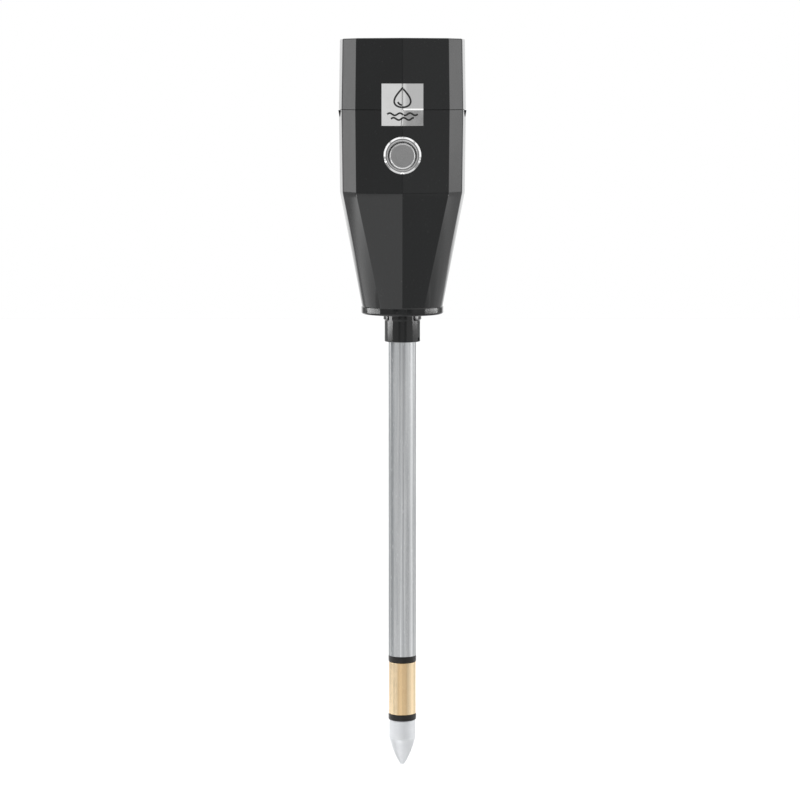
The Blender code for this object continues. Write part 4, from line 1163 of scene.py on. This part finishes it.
def build_floor():
    """A plain pale floor, low enough that the meter's shadow on it is soft and out of the way."""
    size = 8.0
    drop = 0.45
    bm = bmesh.new()
    bmesh.ops.create_grid(bm, x_segments=2, y_segments=2, size=size)
    moved(bm, (0, 0, -drop))
    floor = mesh_object("studio_floor", bm)
    s = Shader("studio_floor")
    tone = s.grain(0.4, 2.0)
    s.set(colour=s.mix(tone, (0.93, 0.93, 0.93), (0.95, 0.95, 0.95)), roughness=0.9, specular=0.1)
    floor.data.materials.append(s.material)
    floor.visible_glossy = False


class Sky:
    """The studio seen as a backdrop: a pale room with soft boxes, given by direction."""

    def __init__(self, name):
        self.world = bpy.data.worlds.new(name)
        self.world.use_nodes = True
        self.tree = self.world.node_tree
        direction = self.add("ShaderNodeTexCoord").outputs["Generated"]
        parts = self.add("ShaderNodeSeparateXYZ", direction).outputs
        ahead = self.calc("MULTIPLY", parts["Y"], -1.0)
        self.side = self.calc("ARCTAN2", parts["X"], ahead)
        self.rise = self.calc("ARCSINE", parts["Z"])

    def add(self, kind, *values, **settings):
        node = self.tree.nodes.new(kind)
        for key, value in settings.items():
            setattr(node, key, value)
        for socket, value in zip(node.inputs, values):
            if isinstance(value, bpy.types.NodeSocket):
                self.tree.links.new(value, socket)
            else:
                socket.default_value = value
        return node

    def calc(self, operation, first, second=0.0):
        return self.add("ShaderNodeMath", first, second, operation=operation).outputs[0]

    def window(self, value, low, high, soft):
        """1 between low and high degrees, falling to 0 over the soft margin outside them."""
        middle, half = math.radians((low + high) / 2), math.radians((high - low) / 2)
        off = self.calc("ABSOLUTE", self.calc("SUBTRACT", value, middle))
        node = self.add("ShaderNodeMapRange", off, half, half + math.radians(soft), 1.0, 0.0)
        node.interpolation_type = "SMOOTHSTEP"
        return node.outputs[0]

    def panel(self, sides, rises, soft, strength):
        across = self.window(self.side, *sides, soft)
        up = self.window(self.rise, *rises, soft)
        return self.calc("MULTIPLY", self.calc("MULTIPLY", across, up), strength)


def build_studio():
    """Tall soft boxes at both sides, a pale wall behind the meter, a dim front where the camera stands,
    a lit ceiling and a lit floor. A panel is its span to the sides and its span up, both in degrees from
    the front, the width of its soft edge and its strength, which is taken away where it is negative."""
    sky = Sky("studio")
    behind = sky.calc("SUBTRACT", 1.0, sky.window(sky.side, -146, 146, 5))
    light = sky.calc("ADD", sky.calc("MULTIPLY", behind, 1.05), 0.42)
    around = (-180, 180)
    panels = [
        # Level with the head
        ((-127, -75), (-4, 42), 1.5, 0.88),
        ((-127, -108), (-3, 42), 1.5, 0.60),
        ((70, 127), (-4, 42), 2.5, 0.75),
        ((100, 127), (-1, 42), 3, 0.55),
        ((-64, -30), (-4, 34), 6, 0.26),
        ((30, 64), (-4, 34), 3, 0.38),
        ((-24, -14), (-4, 10), 3, -0.28),
        ((14, 24), (-4, 10), 3, -0.28),
        # Level with the probe
        ((-146, -66), (-15, -6), 3, 0.14),
        ((-64, -26), (-15, -6), 3, 0.12),
        ((-25, 64), (-15, -6), 3, 0.34),
        ((66, 146), (-15, -7), 2, 0.27),
        ((66, 104), (-6.5, -4), 1.5, 0.25),
        ((30, 60), (-10.5, -8), 1.5, -0.40),
        # Below, for the taper
        ((-150, -86), (-23, -14), 2, 1.35),
        ((-84, -64), (-32, -16), 3, 0.75),
        ((68, 86), (-32, -16), 3, 0.40),
        ((86, 150), (-23, -14), 3, 0.40),
        ((80, 108), (-23, -14), 6, 0.25),
        ((-66, -6), (-46, -18), 6, 1.15),
        ((4, 66), (-46, -18), 5, 0.30),
        # Floor and ceiling
        (around, (-100, -50), 8, 0.48),
        (around, (55, 100), 12, 0.9),
    ]
    for sides, rises, soft, strength in panels:
        light = sky.calc("ADD", light, sky.panel(sides, rises, soft, strength))
    seen = sky.add("ShaderNodeLightPath").outputs["Is Camera Ray"]
    light = sky.calc("ADD", sky.calc("MULTIPLY", light, sky.calc("SUBTRACT", 1.0, seen)), seen)
    background = sky.tree.nodes["Background"]
    sky.tree.links.new(light, background.inputs["Strength"])
    background.inputs["Color"].default_value = (1.0, 1.0, 1.0, 1.0)
    scene = bpy.context.scene
    scene.world = sky.world
    scene.view_settings.view_transform = "Standard"


def build_card(name, sides, bottom, top, strength):
    """Small lamp strip on an arc beside the collar, for the bright bars on the collar and the head's
    foot. The tube, the bezel and the cap don't see it."""
    reach = 300 * MM
    steps = 16
    bm = bmesh.new()
    rungs = []
    for step in range(steps + 1):
        place = on_plan(math.radians(sides[0] + (sides[1] - sides[0]) * step / steps), reach)
        rungs.append([bm.verts.new((place.x, place.y, height)) for height in (bottom, top)])
    for (low, high), (next_low, next_high) in zip(rungs, rungs[1:]):
        bm.faces.new((low, next_low, next_high, high))
    card = mesh_object(name, bm)
    s = Shader(name)
    glow = s.span(s.grain(30 * MM, 2.0), 0.3, 0.7, strength * 0.9, strength * 1.1)
    s.feed(s.body.inputs["Emission Color"], (1.0, 1.0, 1.0))
    s.feed(s.body.inputs["Emission Strength"], glow)
    s.set(colour=(0.0, 0.0, 0.0), specular=0.0)
    card.data.materials.append(s.material)
    card.visible_camera = False
    card.visible_diffuse = False
    card.visible_shadow = False
    spared = bpy.data.collections.new(f"{name}_spares")
    for shiny in ("drawn_tube", "bezel_ring", "push_cap"):
        spared.objects.link(bpy.data.objects[shiny])
    for member in spared.collection_objects:
        member.light_linking.link_state = "EXCLUDE"
    card.light_linking.receiver_collection = spared


def build_camera():
    """A long lens in front of the meter, at the height of the dial, tipped down to frame the probe. The
    meter fills most of the frame's height."""
    distance = 1.2
    height = HEAD_TOP - 18 * MM
    filled = 0.9075
    trim = math.radians(0.0145)
    top = math.atan2(HEAD_TOP - height, distance + RIDGE.y)
    bottom = math.atan2(-height, distance)
    data = bpy.data.cameras.new("camera")
    data.sensor_width = 36.0
    data.lens = filled * data.sensor_width / 2 / math.tan((top - bottom) / 2)
    camera = bpy.data.objects.new("camera", data)
    bpy.context.collection.objects.link(camera)
    camera.location = (-0.96 * MM, -distance, height)
    camera.rotation_euler = (math.pi / 2 + (top + bottom) / 2 + trim, 0, 0)
    bpy.context.scene.camera = camera


dress_cad_nodes()
build_lower_shell()
build_upper_shell()
build_label()
build_label_print()
build_button()
build_collar()
build_tube()
build_insulators()
build_electrodes()
build_window()
build_dial_print()
build_floor()
build_studio()
build_card("collar_card", (-108, -66), 151 * MM, 159 * MM, 6.5)
build_card("left_foot_card", (-112, -68), 160 * MM, 169 * MM, 10.5)
build_card("right_foot_card", (68, 112), 160 * MM, 169 * MM, 9.5)
build_camera()
